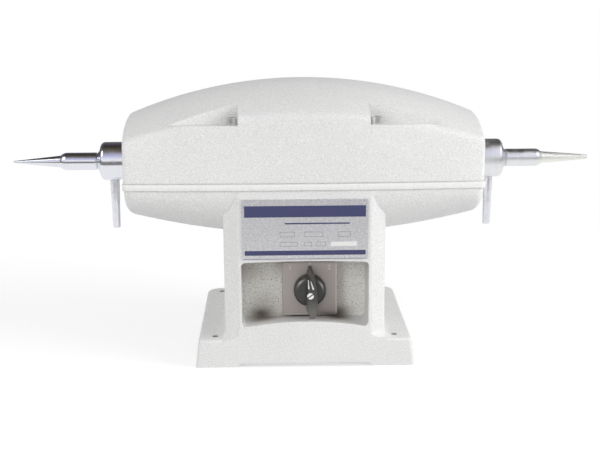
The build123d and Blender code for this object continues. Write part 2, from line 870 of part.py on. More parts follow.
with BuildPart() as motor_screws:
    with BuildSketch(Plane.XY.offset(lug_bottom - motor_screw_bite)):
        with Locations(*[(sx * lug_x, sy * motor_lug_y) for sx, sy in corners]):
            Circle(motor_screw_radius)
    extrude(amount=motor_screw_bite + motor_lug_thickness)
    with BuildSketch(Plane.XY.offset(lug_bottom + motor_lug_thickness)):
        with Locations(*[(sx * lug_x, sy * motor_lug_y) for sx, sy in corners]):
            Circle(motor_screw_head)
    extrude(amount=motor_screw_head_height)
    with BuildSketch(Plane.XY.offset(lug_bottom + motor_lug_thickness + motor_screw_head_height)):
        with Locations(*[(sx * lug_x, sy * motor_lug_y) for sx, sy in corners]):
            RegularPolygon(0.85 * motor_screw_radius, 6, major_radius=False)
    extrude(amount=-0.5 * motor_screw_head_height, mode=Mode.SUBTRACT)
save(motor_screws.part, "motor_screws")


# Rotor: one shaft from taper to taper, laminated core, cast cage with fan fins
core_end = turns_out + 5
bearing_in = bearing_x - bearing_width / 2
bearing_out = bearing_x + bearing_width / 2
half_shaft = [
    (core_end, shaft_core_radius),
    (core_end, shaft_shoulder_radius),
    (bearing_in, shaft_shoulder_radius),
    (bearing_in, bearing_bore / 2 - fit),
    (bearing_out + 1, bearing_bore / 2 - fit),
    (bearing_out + 1, shaft_neck_radius),
    (spindle_in - 1.2, shaft_neck_radius),
    (spindle_in - 1.2, taper_large_radius),
    (spindle_in, taper_large_radius),
    (spindle_wall_end - 1, taper_small_radius),
    (spindle_wall_end, taper_small_radius - 1),
    (spindle_wall_end, 0),
]
rotor_shaft = turned(half_shaft + [(-x, radius) for x, radius in reversed(half_shaft)])
save(rotor_shaft, "rotor_shaft")

cage_circle = rotor_radius - 1.9 * cage_bar_radius
with BuildPart() as rotor_core:
    with BuildSketch(around(-stator_end)):
        Circle(rotor_radius)
        Circle(shaft_core_radius + fit, mode=Mode.SUBTRACT)
        with PolarLocations(cage_circle, cage_bars):
            Circle(cage_bar_radius + screw_fit, mode=Mode.SUBTRACT)
    extrude(amount=stator_length)
save(rotor_core.part, "rotor_core")

cage_foot = 2 * cage_circle - rotor_radius
with BuildPart() as rotor_cage:
    with BuildSketch(around(-stator_end)):
        with PolarLocations(cage_circle, cage_bars):
            Circle(cage_bar_radius)
    extrude(amount=stator_length)
    for sign in (-1, 1):
        with BuildSketch(around(sign * stator_end)):
            Circle(rotor_radius - 0.5)
            Circle(cage_foot, mode=Mode.SUBTRACT)
        extrude(amount=sign * cage_ring_length)
        with BuildSketch(around(sign * (stator_end + cage_ring_length))):
            with PolarLocations((cage_foot + rotor_radius - 0.5) / 2, fan_fins):
                Rectangle(rotor_radius - 1.5 - cage_foot, fan_thickness)
        extrude(amount=sign * fan_reach)
save(rotor_cage.part, "rotor_cage")


# Right ball bearing and the ring that takes up its end play
groove_radius = bearing_ball / 2 + race_clearance
ring_wall = 0.29 * (bearing_od - bearing_bore) / 2


def bearing_ring(inner, outer):
    """One bearing ring with its ball groove."""
    with BuildPart() as ring:
        with BuildSketch(shaft_plane):
            with Locations((bearing_x, (inner + outer) / 2)):
                RectangleRounded(bearing_width, outer - inner, 0.6)
            with Locations((bearing_x, ball_circle)):
                Circle(groove_radius, mode=Mode.SUBTRACT)
        revolve(axis=shaft_axis)
    return ring.part


with BuildPart() as bearing_balls_right:
    with Locations(around(bearing_x)):
        with PolarLocations(ball_circle, bearing_balls):
            Sphere(bearing_ball / 2)

# Snap-in crown cage, open on its outboard side
cage_back = bearing_x - bearing_ball / 2 - 1.2
with BuildPart() as bearing_cage_right:
    with BuildSketch(around(cage_back)):
        Circle(ball_circle + 0.2 * bearing_ball)
        Circle(ball_circle - 0.2 * bearing_ball, mode=Mode.SUBTRACT)
    extrude(amount=bearing_ball / 2 + 1.7)
    with Locations(around(bearing_x)):
        with PolarLocations(ball_circle, bearing_balls):
            Sphere(groove_radius, mode=Mode.SUBTRACT)

right_bearing = {
    "bearing_outer": bearing_ring(bearing_od / 2 - ring_wall, bearing_od / 2),
    "bearing_inner": bearing_ring(bearing_bore / 2, bearing_bore / 2 + ring_wall),
    "bearing_balls": bearing_balls_right.part,
    "bearing_cage": bearing_cage_right.part,
}
for name, piece in right_bearing.items():
    save(piece, f"{name}_right")
    save(on_the_left(piece), f"{name}_left")

shim_foot = bearing_od / 2 - ring_wall
shim_top = bearing_od / 2 - 0.2
bearing_shim = turned(
    [
        (seat_end - shim_thickness, shim_foot),
        (seat_end, shim_foot),
        (seat_end, shim_top),
        (seat_end - shim_thickness, shim_top),
    ]
)
save(bearing_shim, "bearing_shim")
preload_washer = turned(
    [
        (-bearing_out, shim_foot),
        (-seat_end + 0.5, shim_top),
        (-seat_end, shim_top),
        (-bearing_out - 0.5, shim_foot),
    ]
)
save(preload_washer, "preload_washer")

felt_in = seat_end + 0.2
felt_out = seat_end + felt_length - 0.2
felt_bore = shaft_neck_radius + running_fit
dust_seal = turned(
    [(felt_in, felt_bore), (felt_out, felt_bore), (felt_out, felt_radius - 0.1), (felt_in, felt_radius - 0.1)]
)
save(dust_seal, "dust_seal_right")
save(on_the_left(dust_seal), "dust_seal_left")


# Spindle ejector, right end: lever collar on a bronze bush, lever with its pin, keyed push ring
stud_hole = lever_stud_radius + screw_fit
with BuildPart() as lever_collar_right:
    with BuildSketch(shaft_plane) as collar_section:
        with BuildLine():
            Polyline(
                (collar_in, bush_radius),
                (collar_in, collar_radius),
                (collar_out, collar_radius),
                (collar_out, collar_lip_bore),
                (collar_out - collar_lip, collar_lip_bore),
                (collar_out - collar_lip, bush_radius),
                close=True,
            )
        make_face()
        rims = collar_section.vertices().group_by(Axis.Y)[-1].sort_by(Axis.X)
        fillet(rims[-1], collar_round)
        chamfer(collar_section.vertices().group_by(Axis.Y)[-1].sort_by(Axis.X)[0], 0.8)
    revolve(axis=shaft_axis)
    with Locations((lever_x, 0, shaft_height - collar_radius)):
        Hole(stud_hole, depth=collar_radius - bush_radius + 1)

bush_bore = neck_radius + running_fit
with BuildPart() as collar_bush_right:
    add(
        turned(
            [
                (collar_in, bush_bore),
                (collar_in + bush_length, bush_bore),
                (collar_in + bush_length, bush_radius - fit),
                (collar_in, bush_radius - fit),
            ]
        )
    )
    with Locations((lever_x, 0, shaft_height - bush_radius)):
        Hole(stud_hole, depth=bush_wall + 1)

pin_tip = shaft_height - neck_radius + groove_depth - loose
stud_top = shaft_height - bush_bore - 0.3
with BuildPart() as ejector_lever_right:
    with BuildSketch(facing(0)) as lever_section:
        with BuildLine():
            Polyline(
                (lever_x, shaft_height - lever_reach),
                (lever_x + lever_end_radius, shaft_height - lever_reach),
                (lever_x + lever_radius, shaft_height - collar_radius - 0.9),
                (lever_x + lever_radius - 0.6, shaft_height - collar_radius - 0.2),
                (lever_x + lever_stud_radius, shaft_height - collar_radius - 0.2),
                (lever_x + lever_stud_radius, stud_top),
                (lever_x + lever_pin_radius, stud_top),
                (lever_x + lever_pin_radius, pin_tip),
                (lever_x, pin_tip),
                close=True,
            )
        make_face()
        fillet(lever_section.vertices().group_by(Axis.Y)[0].sort_by(Axis.X)[-1], 1.6)
    revolve(axis=Axis((lever_x, 0, 0), (0, 0, 1)))

ring_bore = neck_radius + running_fit
nose_radius = collar_lip_bore - 0.1
ring_step = ring_in + push_ring_flange
with BuildPart() as push_ring_right:
    add(
        turned(
            [
                (ring_in, ring_bore),
                (ring_in, bush_radius - 0.1),
                (ring_step, bush_radius - 0.1),
                (ring_step, nose_radius),
                (collar_out, nose_radius),
                (nose_face, nose_tip_radius),
                (nose_face, shaft_neck_radius + 0.6),
                (neck_end + 0.4, shaft_neck_radius + 0.6),
                (neck_end + 0.4, ring_bore),
            ]
        )
    )
    with BuildSketch(around(collar_out)):
        with PolarLocations(nose_radius - 1.2, nose_notches, start_angle=22.5):
            Circle(1.1)
    extrude(amount=nose_length, mode=Mode.SUBTRACT)
    with Locations((ring_in, 0, shaft_height + ring_bore)):
        Box(
            push_ring_flange,
            key_width,
            2 * (groove_depth - 0.8),
            align=(Align.MIN, Align.CENTER, Align.CENTER),
        )

right_ejector = {
    "lever_collar": lever_collar_right,
    "collar_bush": collar_bush_right,
    "ejector_lever": ejector_lever_right,
    "push_ring": push_ring_right,
}
for name, piece in right_ejector.items():
    save(piece.part, f"{name}_right")
    save(on_the_left(piece.part), f"{name}_left")


# Taper spindles: a sleeve that grips the shaft's taper, running out into a tapered point
def taper_spindle(tip_radius):
    """A taper spindle for the right end."""
    shoulder_in = spindle_in + spindle_body
    point_in = shoulder_in + spindle_shoulder
    with BuildPart() as spindle:
        with BuildSketch(shaft_plane):
            with BuildLine():
                Polyline(
                    (spindle_in, taper_large_radius + running_fit),
                    (spindle_in, spindle_radius - 1.2),
                    (spindle_in + 1.2, spindle_radius),
                    (shoulder_in, spindle_radius),
                )
                TangentArc((shoulder_in, spindle_radius), (point_in, point_base_radius), tangent=(1, 0))
                Polyline(
                    (point_in, point_base_radius),
                    (spindle_out - 0.6, tip_radius),
                    (spindle_out, tip_radius - 0.6),
                    (spindle_out, 0),
                    (spindle_wall_end + 4.6, 0),
                    (spindle_wall_end + 2, taper_small_radius + running_fit),
                    (spindle_wall_end - 1, taper_small_radius + running_fit),
                    (spindle_in, taper_large_radius + running_fit),
                )
            make_face()
        revolve(axis=shaft_axis)
    return spindle.part


save(taper_spindle(right_tip_radius), "taper_spindle_right")
save(on_the_left(taper_spindle(left_tip_radius)), "taper_spindle_left")


# Switch: plate in the niche, cam switch behind its wall, knob on the switch's square spindle
with BuildPart() as switch_plate:
    with BuildSketch(switch_front):
        RectangleRounded(switch_plate_size, switch_plate_size, switch_plate_round)
        Circle(1.6 * switch_spindle_radius, mode=Mode.SUBTRACT)
    extrude(amount=switch_plate_thickness)
    chamfer(switch_plate.faces().sort_by(Axis.Y)[0].outer_wire().edges(), 0.7)
save(switch_plate.part, "switch_plate")

head_depth = switch_screw_radius + loose
with BuildPart() as switch_screws:
    with Locations(switch_front):
        with GridLocations(switch_screw_spread, switch_screw_spread, 2, 2):
            Cone(
                switch_screw_radius,
                2 * switch_screw_radius,
                head_depth,
                align=hanging,
            )
            Cylinder(
                switch_screw_radius,
                niche_wall + switch_screw_bite,
                align=hanging,
            )
save(switch_screws.part, "switch_screws")

with BuildPart() as switch_body:
    with BuildSketch(switch_rear):
        RectangleRounded(switch_body_size, switch_body_size, 3)
    extrude(amount=-switch_body_length)
    for step in (0.3, 0.5, 0.7):
        with BuildSketch(switch_rear.offset(-step * switch_body_length)):
            Rectangle(switch_body_size + 1, switch_body_size + 1)
            RectangleRounded(switch_body_size - 2, switch_body_size - 2, 2, mode=Mode.SUBTRACT)
        extrude(amount=-1.2, mode=Mode.SUBTRACT)
    with Locations(switch_rear):
        Hole(switch_spindle_radius + running_fit, depth=switch_spindle_depth + 1)
        with GridLocations(switch_screw_spread, switch_screw_spread, 2, 2):
            Hole(switch_screw_radius + screw_fit, depth=switch_screw_bite + 1)
save(switch_body.part, "switch_body")

spindle_front = switch_front.offset(switch_plate_thickness + knob_bore)
with BuildPart() as switch_spindle:
    with BuildSketch(switch_rear.offset(-switch_spindle_depth)):
        Circle(switch_spindle_radius)
    extrude(amount=switch_spindle_depth + niche_wall + switch_plate_thickness)
    with BuildSketch(switch_front.offset(switch_plate_thickness)):
        Rectangle(switch_spindle_square, switch_spindle_square)
    extrude(amount=knob_bore)
    with Locations(spindle_front):
        Hole(knob_screw_radius + screw_fit, depth=knob_screw_bite + 1)
save(switch_spindle.part, "switch_spindle")

handle_half = handle_length / 2
with BuildPart() as switch_knob:
    with BuildSketch(knob_back):
        Circle(knob_radius)
    extrude(amount=knob_base)
    fillet(switch_knob.faces().sort_by(Axis.Y)[0].edges(), 2.5)
    with BuildSketch(knob_back.rotated((0, 0, handle_lean))):
        with BuildLine():
            right_flank = ThreePointArc(
                (handle_tip_width / 2, handle_half),
                (0.42 * handle_width, 0.3 * handle_half),
                (handle_width / 2, -0.2 * handle_half),
            )
            tail_end = (handle_end_width / 2, 3 - handle_half)
            right_tail = TangentArc(right_flank @ 1, tail_end, tangent=right_flank % 1)
            ThreePointArc(right_tail @ 1, (0, -handle_half), (-handle_end_width / 2, 3 - handle_half))
            mirror(right_flank, about=Plane.YZ)
            mirror(right_tail, about=Plane.YZ)
            Line((-handle_tip_width / 2, handle_half), (handle_tip_width / 2, handle_half))
        make_face()
    extrude(amount=knob_height, taper=handle_draft)
    fillet(switch_knob.faces().sort_by(Axis.Y)[0].edges(), 0.5)
    with Locations(knob_back.offset(knob_height)):
        CounterBoreHole(knob_screw_radius + loose, knob_screw_head + 0.15, 1.4, depth=knob_height)
    with BuildSketch(knob_back.offset(-knob_gap)):
        Rectangle(switch_spindle_square + 2 * screw_fit, switch_spindle_square + 2 * screw_fit)
    extrude(amount=knob_bore + loose, mode=Mode.SUBTRACT)
save(switch_knob.part, "switch_knob")

screw_seat = knob_back.offset(knob_height - 1.4)
with BuildPart() as knob_screw:
    with BuildSketch(screw_seat):
        Circle(knob_screw_head)
    extrude(amount=1.2)
    with BuildSketch(screw_seat.offset(0.4)):
        Rectangle(3 * knob_screw_head, 0.9, rotation=35)
    extrude(amount=1, mode=Mode.SUBTRACT)
    with BuildSketch(spindle_front.offset(-knob_screw_bite)):
        Circle(knob_screw_radius)
    extrude(amount=knob_screw_bite + knob_gap + knob_height - knob_bore - 1.4)
save(knob_screw.part, "knob_screw")


# Nameplate on the pedestal
with BuildPart() as nameplate:
    with BuildSketch(facing(-front)):
        with Locations((0, nameplate_z)):
            RectangleRounded(nameplate_width, nameplate_height, nameplate_round)
    extrude(amount=nameplate_thickness)
save(nameplate.part, "nameplate")


# Fittings in the pedestal: capacitor in its clip, terminal block, bottom plate, cable gland
capacitor_top = capacitor_foot + capacitor_length
with BuildPart() as capacitor:
    with BuildSketch(Plane.XY.offset(capacitor_foot)):
        with Locations((capacitor_x, capacitor_y)):
            Circle(capacitor_radius)
    extrude(amount=capacitor_length)
    fillet(capacitor.faces().group_by(Axis.Z)[0].edges() + capacitor.faces().group_by(Axis.Z)[-1].edges(), 2)
    with BuildSketch(Plane.XY.offset(capacitor_top)):
        with Locations((capacitor_x, capacitor_y)):
            with GridLocations(0, 14, 1, 2):
                Rectangle(0.8, 6.3)
    extrude(amount=8)
save(capacitor.part, "capacitor")

clip_bore = capacitor_radius + screw_fit
with BuildPart() as capacitor_clip:
    with BuildSketch(Plane.XY.offset(clip_z - clip_height / 2)):
        with Locations((capacitor_x, capacitor_y)):
            Circle(clip_bore + clip_thickness)
        with Locations((capacitor_x, pedestal_inner_rear)):
            Rectangle(clip_ear, clip_thickness, align=(Align.MIN, Align.MAX))
        with Locations((capacitor_x, capacitor_y)):
            Circle(clip_bore, mode=Mode.SUBTRACT)
    extrude(amount=clip_height)
    with Locations(inner_rear_wall.offset(clip_thickness) * Location((clip_screw_x, clip_z, 0))):
        Hole(fitting_screw_radius + loose, depth=clip_thickness)
save(capacitor_clip.part, "capacitor_clip")

block_face = inner_rear_wall.offset(block_depth)
with BuildPart() as terminal_block:
    with BuildSketch(inner_rear_wall):
        with Locations((block_x, block_z)):
            Rectangle(block_width, block_height)
    extrude(amount=block_depth)
    chamfer(terminal_block.faces().sort_by(Axis.Y)[0].edges(), 1)
    with Locations(block_face * Location((block_x, block_z, 0))):
        with GridLocations(block_screw_spread / 3, 0, 3, 1):
            Hole(2.2, depth=6)
        with GridLocations(block_screw_spread, 0, 2, 1):
            CounterBoreHole(
                fitting_screw_radius + loose,
                2 * fitting_screw_radius + loose,
                block_depth - 3,
                depth=block_depth,
            )
save(terminal_block.part, "terminal_block")

fitting_seats = [inner_rear_wall.offset(clip_thickness) * Location((clip_screw_x, clip_z, 0))]
fitting_seats += [inner_rear_wall.offset(3) * Location((x, z, 0)) for x, z in block_screw_places]
with BuildPart() as fitting_screws:
    with Locations(*fitting_seats):
        Cylinder(2 * fitting_screw_radius, 2, align=(Align.CENTER, Align.CENTER, Align.MIN))
    with Locations(fitting_seats[0]):
        Cylinder(fitting_screw_radius, fitting_screw_bite + clip_thickness, align=hanging)
    with Locations(*fitting_seats[1:]):
        Cylinder(fitting_screw_radius, fitting_screw_bite + 3, align=hanging)
save(fitting_screws.part, "fitting_screws")

with BuildPart() as bottom_plate:
    with BuildSketch(Plane.XY.offset(flange_ceiling - plate_thickness)):
        with Locations((0, (plate_screw_front + plate_screw_rear) / 2)):
            RectangleRounded(
                2 * (plate_screw_x + plate_boss_radius),
                plate_screw_rear - plate_screw_front + 4 * plate_boss_radius,
                plate_boss_radius,
            )
        with Locations(*plate_screw_places):
            Circle(plate_screw_radius + loose, mode=Mode.SUBTRACT)
    extrude(amount=plate_thickness)
save(bottom_plate.part, "bottom_plate")

with BuildPart() as plate_screws:
    with BuildSketch(Plane.XY.offset(flange_ceiling - plate_thickness)):
        with Locations(*plate_screw_places):
            Circle(plate_screw_head)
    extrude(amount=-plate_screw_head_height)
    with BuildSketch(Plane.XY.offset(flange_ceiling - plate_thickness)):
        with Locations(*plate_screw_places):
            Circle(plate_screw_radius)
    extrude(amount=plate_thickness + plate_screw_bite)
save(plate_screws.part, "plate_screws")

with BuildPart() as cable_gland:
    with BuildSketch(gland_plane):
        RegularPolygon(gland_hex_radius, 6)
    extrude(amount=gland_hex_length)
    with BuildSketch(gland_plane.offset(gland_hex_length)):
        Circle(gland_dome_radius)
    extrude(amount=gland_dome_length)
    fillet(cable_gland.faces().sort_by(Axis.Y)[-1].edges(), 0.45 * gland_dome_radius)
    with BuildSketch(gland_plane):
        Circle(gland_thread_radius)
    extrude(amount=-pedestal_wall - locknut_length - 2)
    with Locations(gland_plane.offset(gland_hex_length + gland_dome_length)):
        Hole(gland_bore_radius, depth=gland_hex_length + gland_dome_length + pedestal_wall + locknut_length + 2)
save(cable_gland.part, "cable_gland")

with BuildPart() as gland_locknut:
    with BuildSketch(gland_plane.offset(-pedestal_wall)):
        RegularPolygon(gland_hex_radius, 6)
        Circle(gland_thread_radius + screw_fit, mode=Mode.SUBTRACT)
    extrude(amount=-locknut_length)
save(gland_locknut.part, "gland_locknut")


# Leads inside the machine: winding to switch, capacitor to switch
switch_back = niche_back + niche_wall + switch_body_length


def lead(radius, bend, *points):
    """A bundle of wires along a route with rounded corners."""
    with BuildPart() as bundle:
        with BuildLine() as route:
            FilletPolyline(*points, radius=bend)
        with BuildSketch(Plane(origin=route.line @ 0, z_dir=route.line % 0)):
            Circle(radius)
        sweep()
    return bundle.part


lead_y = switch_back + 22
motor_leads = lead(
    lead_radius,
    9,
    (lead_x, 0, shaft_height - winding_top - 0.1),
    (lead_x, 0, belly_height - 8),
    (lead_x, lead_y, switch_z + 24),
    (switch_x + 14, lead_y, switch_z + 10),
    (switch_x + 14, switch_back + 0.1, switch_z + 10),
)
save(motor_leads, "motor_leads")
capacitor_leads = lead(
    capacitor_lead_radius,
    6,
    (capacitor_x, capacitor_y, capacitor_top + 0.1),
    (capacitor_x, capacitor_y, capacitor_top + 16),
    (switch_x - 14, lead_y, capacitor_top + 12),
    (switch_x - 14, lead_y, switch_z + 10),
    (switch_x - 14, switch_back + 0.1, switch_z + 10),
)
save(capacitor_leads, "capacitor_leads")
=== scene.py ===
# %% [markdown]
# # Bench polisher: looks on a fixed CAD frame
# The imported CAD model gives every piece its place. This script only gives the machine its looks: smooth
# surfaces, paint, chrome, printed plates and light. Everything is in metres, with +Z up, +X along the shaft
# and the switch facing -Y.

import json
import math

import bmesh
import bpy
import numpy as np
from mathutils import Matrix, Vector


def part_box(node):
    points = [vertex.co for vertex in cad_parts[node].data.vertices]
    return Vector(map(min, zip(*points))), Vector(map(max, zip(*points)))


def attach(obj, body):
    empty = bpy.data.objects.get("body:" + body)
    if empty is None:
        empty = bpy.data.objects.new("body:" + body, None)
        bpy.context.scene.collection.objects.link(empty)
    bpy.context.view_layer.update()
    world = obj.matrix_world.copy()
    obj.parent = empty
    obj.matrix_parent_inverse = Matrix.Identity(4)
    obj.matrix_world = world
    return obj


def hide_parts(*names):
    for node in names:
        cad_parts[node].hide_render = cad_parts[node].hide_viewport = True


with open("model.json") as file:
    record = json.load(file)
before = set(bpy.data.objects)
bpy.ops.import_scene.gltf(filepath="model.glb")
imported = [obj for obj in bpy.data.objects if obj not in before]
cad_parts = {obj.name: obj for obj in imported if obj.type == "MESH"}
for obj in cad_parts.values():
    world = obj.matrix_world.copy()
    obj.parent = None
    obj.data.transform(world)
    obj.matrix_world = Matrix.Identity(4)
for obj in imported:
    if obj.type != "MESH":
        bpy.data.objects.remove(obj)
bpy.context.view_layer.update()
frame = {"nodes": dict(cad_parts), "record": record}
scene = bpy.context.scene

# %% [markdown]
# ## Camera
# The photograph was taken from a little over the machine's height, with a short telephoto view. A camera can
# be set by eye, or solved from known points. Here position, lens and turns come from a fit to the outline of
# the foot, the housing and the spindle points, so only those few numbers are written down.

# %% Camera
def standing(right, up, back, place):
    """The 4 by 4 matrix of a camera or a lamp: its columns are the thing's own three axes and its place."""
    columns = np.column_stack((right, up, back, place))
    return Matrix(np.vstack((columns, (0, 0, 0, 1))).tolist())


def photo_camera(place, yaw, pitch, roll, lens):
    """A camera from its place and three turns in degrees: the view direction falls by pitch and swings by
    yaw, and the picture's own axes are turned by roll round that direction."""
    yaw, pitch, roll = np.radians((yaw, pitch, roll))
    ahead = np.array((np.sin(yaw) * np.cos(pitch), np.cos(yaw) * np.cos(pitch), -np.sin(pitch)))
    flat = np.array((np.cos(yaw), -np.sin(yaw), 0.0))
    over = np.cross(flat, ahead)
    right = np.cos(roll) * flat + np.sin(roll) * over
    up = np.cos(roll) * over - np.sin(roll) * flat
    data = bpy.data.cameras.new("photo_camera")
    data.lens = lens
    data.sensor_width = 36.0
    data.clip_end = 100.0
    camera = bpy.data.objects.new("photo_camera", data)
    camera.matrix_world = standing(right, up, -ahead, place)
    scene.collection.objects.link(camera)
    return camera


scene.camera = photo_camera((-0.02541, -0.92409, 0.328), yaw=1.446, pitch=13.531, roll=-0.285, lens=63.3)
print("camera at", [round(v, 3) for v in scene.camera.location])

# %% [markdown]
# ## Node helpers
# The surroundings, the floor and the finishes are all made of shader nodes. They could be wired by hand, one
# line for each link. A few short helpers that place a node and link its inputs in one call keep the recipes
# below readable.

# %% Node helpers
def give(tree, socket, value):
    """Feed an input: link an output to it, or set a plain value on it."""
    if isinstance(value, bpy.types.NodeSocket):
        tree.links.new(value, socket)
    else:
        socket.default_value = value


def put(tree, kind, inputs=None, **settings):
    """One shader node in a tree. Settings are the node's own properties; an input is a value or an output."""
    made = tree.nodes.new("ShaderNode" + kind)
    for name, value in settings.items():
        setattr(made, name, value)
    for name, value in (inputs or {}).items():
        give(tree, made.inputs[name], value)
    return made


def math_node(tree, operation, first, second=0.0, clamp=False):
    """One arithmetic step on two values or outputs; returns its output."""
    return put(tree, "Math", {0: first, 1: second}, operation=operation, use_clamp=clamp).outputs[0]


def times(tree, first, second):
    """The product of two values or outputs."""
    return math_node(tree, "MULTIPLY", first, second)


def bell(tree, square):
    """exp(-square), as a power of 1 / e: 1 in the middle and next to nothing far out."""
    return math_node(tree, "POWER", math.exp(-1.0), square)


def fade(tree, value, start, end, low=0.0, high=1.0, **settings):
    """Goes from low to high as a value goes from start to end, and stays there past either end."""
    inputs = {"Value": value, "From Min": start, "From Max": end, "To Min": low, "To Max": high}
    return put(tree, "MapRange", inputs, **settings).outputs[0]


print("node helpers: give, put, math_node, times, bell, fade")

# %% [markdown]
# ## Places and rays
# A pattern has to stay on its piece when the piece turns. It could be wrapped on by a map of the surface.
# Here it reads Object coordinates: each piece's object sits at the origin, so they are metres in the
# machine's own frame, and a stain or a worn edge can be given by its place on the machine.

# %% Places and rays
def object_place(tree):
    """The place of a surface point in Object coordinates."""
    return put(tree, "TexCoord").outputs["Object"]


def xyz(tree, place):
    """The three coordinates of a place."""
    return put(tree, "SeparateXYZ", {0: place}).outputs


def stretched(tree, place, amount):
    """A place multiplied by a number along each axis."""
    return put(tree, "VectorMath", {0: place, 1: amount}, operation="MULTIPLY").outputs[0]


def distance(tree, place, centre=(0, 0, 0)):
    """How far a place is from a centre."""
    return put(tree, "VectorMath", {0: place, 1: centre}, operation="DISTANCE").outputs["Value"]


def seen_through(tree, path):
    """1 for a ray that comes from the camera, straight or through glass, and 0 for any other."""
    return math_node(tree, "MAXIMUM", path["Is Camera Ray"], path["Is Transmission Ray"])


print("place and ray helpers: object_place, xyz, stretched, distance, seen_through")

# %% [markdown]
# ## Lamps
# The machine stands in a plain bright studio: a soft lamp at the right, one about a third as strong at the
# left, and two weak ones that keep the niche and the rear from going dark. The powers could be found by
# trial. Here the machine was lit by one lamp at a time, the mix that comes nearest to the shading of the
# paint was solved for, and that mix was then adjusted.

# %% Lamps
motor_middle = (0, 0, 0.12)
niche_middle = (0, 0, 0.08)


def soft_lamp(name, place, aim, size, power):
    """A square area lamp at a place, turned to look at aim. Gloss shows the studio, not the lamp itself."""
    data = bpy.data.lights.new(name, "AREA")
    data.shape = "SQUARE"
    data.size = size
    data.energy = power
    lamp = bpy.data.objects.new(name, data)
    lamp.visible_glossy = False
    ahead = np.subtract(aim, place) / np.linalg.norm(np.subtract(aim, place))
    right = np.cross(ahead, (0, 0, 1)) / np.linalg.norm(np.cross(ahead, (0, 0, 1)))
    lamp.matrix_world = standing(right, np.cross(right, ahead), -ahead, place)
    scene.collection.objects.link(lamp)
    return lamp


lamps = [
    soft_lamp("right_lamp", (1.68, -0.61, 0.77), motor_middle, size=1.0, power=19.0),
    soft_lamp("left_lamp", (-1.37, -1.15, 0.77), motor_middle, size=1.0, power=7.0),
    soft_lamp("front_lamp", (-0.2, -1.85, 0.55), niche_middle, size=0.8, power=3.8),
    soft_lamp("rear_lamp", (-0.7, 1.6, 0.9), motor_middle, size=1.0, power=6.0),
]
print("lamps:", [lamp.name for lamp in lamps])

# %% [markdown]
# ## Surroundings
# The paint needs even light from all round, but chrome under an even sky looks like grey plastic: it needs
# something to mirror. A picture of a room could serve. Here two colour ramps do, one over the height and one
# from front to back, for reflected rays only. The camera sees plain white.

# %% Surroundings
ceiling_tones = (
    (0.00, (0.24, 0.21, 0.20)),
    (0.09, (0.30, 0.27, 0.28)),
    (0.17, (0.88, 0.88, 0.92)),
    (0.30, (0.96, 0.97, 1.00)),
    (0.55, (0.62, 0.64, 0.88)),
    (0.80, (0.40, 0.38, 0.50)),
    (0.92, (0.17, 0.145, 0.11)),
)
wall_tones = (
    (0.10, (1.0, 1.0, 1.0)),
    (0.38, (0.85, 0.87, 0.95)),
    (0.50, (0.42, 0.42, 0.46)),
    (0.70, (0.17, 0.155, 0.15)),
)
box_direction = (0.60, -0.38, 0.70)
box_edge, box_core = 0.30, 0.12
box_strength = 5.0
even_tone, even_strength = (0.985, 0.978, 0.978, 1), 0.565
plain_white = (1, 1, 1, 1)


def tone_ramp(tree, value, stops):
    """A colour ramp over a value, through stops of place and tone."""
    ramp = put(tree, "ValToRGB", {"Fac": value})
    elements = ramp.color_ramp.elements
    elements.remove(elements[1])
    first_place, first_tone = stops[0]
    elements[0].position = first_place
    elements[0].color = (*first_tone, 1)
    for place, tone in stops[1:]:
        elements.new(place).color = (*tone, 1)
    return ramp.outputs[0]


def combined(tree, how, first, second):
    """Two colours, multiplied or added in full."""
    return put(tree, "Mix", {0: 1.0, 6: first, 7: second}, data_type="RGBA", blend_type=how).outputs[2]


def studio_world():
    """The world: white for the camera and an even tone for the light on the paint. A reflection sees a dark
    horizon, a bright band over it and a ceiling that darkens with its height; all of it is bright in front
    and dark behind. A small bright box stands high up at either side."""
    world = bpy.data.worlds.new("studio")
    world.use_nodes = True
    tree = world.node_tree
    tree.nodes.clear()
    path = put(tree, "LightPath").outputs
    x, y, z = xyz(tree, put(tree, "TexCoord").outputs["Generated"])
    ceiling = tone_ramp(tree, z, ceiling_tones)
    wall = tone_ramp(tree, fade(tree, y, -1.0, 1.0), wall_tones)
    either_side = put(tree, "CombineXYZ", {0: math_node(tree, "ABSOLUTE", x), 1: y, 2: z}).outputs[0]
    off_box = distance(tree, either_side, box_direction)
    box_light = fade(tree, off_box, box_edge, box_core, high=box_strength)
    room = combined(tree, "ADD", combined(tree, "MULTIPLY", ceiling, wall), box_light)
    even = put(tree, "Background", {"Color": even_tone, "Strength": even_strength}).outputs[0]
    mirror = put(tree, "Background", {"Color": room}).outputs[0]
    white = put(tree, "Background", {"Color": plain_white}).outputs[0]
    reflected = put(tree, "MixShader", {0: path["Is Glossy Ray"], 1: even, 2: mirror}).outputs[0]
    seen = put(tree, "MixShader", {0: seen_through(tree, path), 1: reflected, 2: white}).outputs[0]
    put(tree, "OutputWorld", {"Surface": seen})
    return world


scene.world = studio_world()
print("surroundings:", len(scene.world.node_tree.nodes), "nodes")

# %% [markdown]
# ## Floor
# The machine stands on a plain pale floor that has no end in the picture. A floor could be lit until it turns
# white, but that would wash out the paint. So it is lit paint near the machine, where the shadow falls, and
# fades into plain white further out. Chrome mirrors a bench top that ends, with a darker room beyond it.

# %% Floor paint
floor_tone = (0.70, 0.70, 0.70, 1)
floor_glow = 0.42
white_start, white_end = 0.35, 0.8
bench_shape = (0.6, 1.0, 1.0)
bench_end, room_start = 0.60, 0.68
bench_tone = (0.97, 0.97, 1.0, 1)
bench_glow, room_glow = 0.95, 0.22


